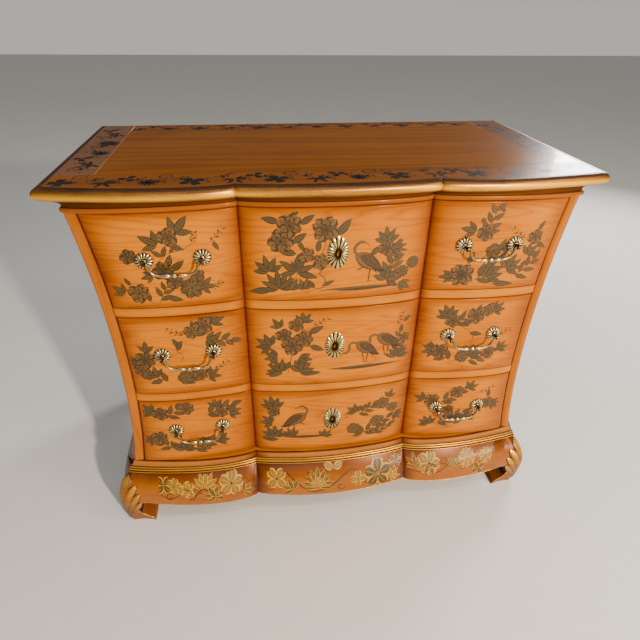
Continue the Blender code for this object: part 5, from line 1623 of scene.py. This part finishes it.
def giltLine(name, lines, radius, finish=moldingGilding):
    carrier = bpy.data.meshes.new(name)
    points, edges = [], []
    for line in lines:
        edges += [(i, i + 1) for i in range(len(points), len(points) + len(line) - 1)]
        points += line
    carrier.from_pydata(points, edges, [])
    mesh = runTree(giltTree, carrier, {"Radius": radius, "Material": finish})
    mesh.name = name
    mark(mesh, "rub", [0.85] * len(mesh.vertices))
    settle(mesh, 50)
    piece = link(name, mesh)
    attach(piece, "case")


giltTree = lineTree()
lips = []
for low, high in ((-apronEnd, -1.02), (-0.985, 0.985), (1.02, apronEnd)):
    lip = [apronPoint(place, apronLow(place) + 0.0010) for place in spread(low, high, 40)]
    lips.append([(x, y + 0.0007, z) for x, y, z in lip])
giltLine("apronLip", lips, 0.0009)
for sideName, sign in bothSides:
    path = [(sign * (kneeHalf - inward), z) for inward, z in curlOutline()[2:]]
    path = [(x, footFront(x, z) + 0.0004, z) for x, z in path if abs(x) > footInnerX and z > 0.003]
    giltLine("footLip_" + sideName, [path], 0.0010)

# Pale line in the joints between the field's frame and the end bands: a painted highlight where the joint catches the
# light
jointGlint = {"beside": 0.0004, "below": 0.0009, "radius": 0.0008}
jointX = fieldHalf + jointGlint["beside"]
lines = [[(sign * jointX, y, topZ - jointGlint["below"]) for y in spread(fieldFront, backY - 0.001, 8)]
         for sign in (-1, 1)]
giltLine("topStringing", lines, jointGlint["radius"], innerPoplar)

# Knee leaf: ribbed club-ended lobes that spread up from the toe round the corner.
# A lobe is where its root and its tip are beside the corner, its top, its width and its layer.
carvings = bpy.data.collections.new("carved lobes")
bpy.context.scene.collection.children.link(carvings)
lobe = {"height": 0.0034, "ribs": 2, "ribDepth": 0.0002, "low": 0.012, "rows": (
    (0.0, 0.0, 0.128, 0.026, 4), (-0.004, -0.023, 0.110, 0.026, 3), (-0.008, -0.044, 0.091, 0.026, 2),
    (-0.011, -0.060, 0.066, 0.024, 1))}


def lobeEdge(u, v):
    wide = (0.30 + 0.70 * smooth(u / 0.72)) * sqrt(max(0.0, 1 - max(0.0, (u - 0.80) / 0.20) ** 2.2))
    return u, v * max(0.03, wide)


def lobeHeight(u, v):
    dome = lobe["height"] * (0.45 + 0.55 * smooth(u / 0.8)) * max(0.0, 1 - v * v) ** 0.5
    ribs = lobe["ribDepth"] * cos(lobe["ribs"] * pi * v) * (1 - abs(v) ** 4)
    return max(0.0, (dome + ribs) * max(0.0, 1 - max(0.0, (u - 0.86) / 0.14) ** 2) ** 0.5)


motifShape("lobe", carvings, lobeEdge, 26, 12, 1.0, lobeHeight)


def onKnee(sign):
    radius = foot["radius"]
    arc = radius * pi / 2

    def place(s, z, lift):
        # straight lobes bend apart as they rise
        s = arc / 2 + (s - arc / 2) * (0.42 + 0.58 * max(0.0, (z - lobe["low"]) / 0.1) ** 1.3)
        centreX, centreY = kneeX(frontY, z) - radius, frontY - apronReach(2, z) + radius
        if s < 0:
            return sign * (centreX + s), footFront(centreX + s, z) - lift, z
        if s > arc:
            y = centreY + s - arc
            return sign * (kneeX(y, z) + lift), y, z
        angle, away = -pi / 2 + s / radius, radius + lift
        return sign * (centreX + away * cos(angle)), centreY + away * sin(angle), z
    return place


leafLobes = Painting()
corner = foot["radius"] * pi / 4
for root, tipS, tipZ, width, layer in lobe["rows"]:
    for side in ((1,) if root == 0 else (1, -1)):
        start, tip = Vector((corner + side * root, lobe["low"])), Vector((corner + side * tipS, tipZ))
        step = tip - start
        leafLobes.add(0, *start, math.atan2(step.y, step.x), step.length, width / 2, 0.5, layer)
for sideName, sign in bothSides:
    layPainting("kneeLeaf_" + sideName, leafLobes, onKnee(sign), leafGilding, "case",
                0.0003, 0.0003, shapes=carvings)
for group in (motifs, carvings):
    for tool in list(group.objects):
        bpy.data.objects.remove(tool)
    bpy.data.collections.remove(group)
print("gilt work done")

# Studio: each soft box has a place, a target, a width, a height, a power in watts and a colour
softBoxes = {
    "keyBox": ((1.45, -3.25, 1.75), (0.0, -0.1, 0.4), 0.15, 0.15, 235.0, "FFEED8"),
    "frontBox": ((-0.3, -3.5, 1.5), (0.0, -0.1, 0.4), 1.6, 0.9, 7.0, "FFF6E8"),
    "fillBox": ((-2.2, -2.0, 1.6), (0.0, -0.1, 0.4), 2.0, 1.6, 5.0, "F0F4FF"),
    "lowBox": ((1.64, -2.08, 0.51), (0.0, -0.1, 0.1), 1.0, 0.12, 15.0, "FFE8CC"),
    "highBox": ((1.84, -1.17, 2.19), (0.0, -0.1, 0.7), 0.4, 0.3, 16.0, "FFF4E4"),
    "skyStrip": ((0.0, -1.1, 2.4), (0.0, -0.2, 0.5), 2.4, 0.12, 12.0, "F4F8FF"),
    "rearBox": ((2.05, 1.75, 1.40), (0.4, -0.1, 0.767), 0.75, 0.8, 65.0, "FFFFFF")}


def buildStage():
    # matt pale paper, a little cloudy, that keeps the shadows soft
    material, add, shader, place = newMaterial("pale_studio_floor")
    cloud = add("TexNoise", {"Scale": 3.0, "Vector": place})
    tone = add("ValToRGB", cloud, {"stops": [(0, "D6D4D0"), (1, "DCDAD7")]})
    setNode(shader, {"Base Color": tone, "Roughness": 0.9})
    size = 12.0
    corners = [(-size, -size, 0), (size, -size, 0), (size, size, 0), (-size, size, 0)]
    makePiece("studioFloor", corners, [(0, 1, 2, 3)], material)


# The room is pale at the floor line and overhead, and dim between, so that the lacquer keeps its colour
def buildLight():
    world = bpy.data.worlds.new("studio")
    bpy.context.scene.world = world
    world.use_nodes = True
    height = addNode(world.node_tree, "TexCoord")
    height = addNode(world.node_tree, "SeparateXYZ", height).outputs["Z"]
    tone = addNode(world.node_tree, "ValToRGB", height, {"stops": [
        (0, "E6E4E0"), (0.02, "DEDCD8"), (0.10, "6A6864"), (0.55, "706E6A"), (0.90, "F6F4F0")]})
    setNode(world.node_tree.nodes["Background"], {"Color": tone, "Strength": 0.65})
    for name, (place, target, width, height, power, colour) in softBoxes.items():
        lamp = bpy.data.lights.new(name, "AREA")
        lamp.shape, lamp.size, lamp.size_y, lamp.energy = "RECTANGLE", width, height, power
        lamp.color = toLinear(colour)[:3]
        aim = Vector(target) - Vector(place)
        turn = aim.to_track_quat("-Z", "Y").to_matrix().to_4x4()
        link(name, lamp).matrix_world = Matrix.Translation(place) @ turn


# The photograph's own view: place in metres, turns in radians, focal length in pixels of 640
view = {"place": (-0.14502, -0.99860, 1.00708), "yaw": -0.144372, "pitch": 0.561513, "roll": 0.015, "focal": 502.73}


def buildCamera():
    lens = bpy.data.cameras.new("photoView")
    lens.sensor_width = 36.0
    lens.lens = view["focal"] / 640 * lens.sensor_width
    lens.clip_start = 0.02
    camera = link("photoView", lens)
    yaw, pitch, roll = view["yaw"], view["pitch"], view["roll"]
    level = Vector((cos(yaw), sin(yaw), 0))
    ahead = Vector((-sin(yaw), cos(yaw), 0))
    up = Vector((0, 0, 1))
    forward = ahead * cos(pitch) - up * sin(pitch)
    lifted = up * cos(pitch) + ahead * sin(pitch)
    right = level * cos(roll) + lifted * sin(roll)
    top = lifted * cos(roll) - level * sin(roll)
    turn = Matrix((right, top, -forward)).transposed()
    camera.matrix_world = Matrix.Translation(view["place"]) @ turn.to_4x4()
    bpy.context.scene.camera = camera


buildStage()
buildLight()
buildCamera()
print("stage done")
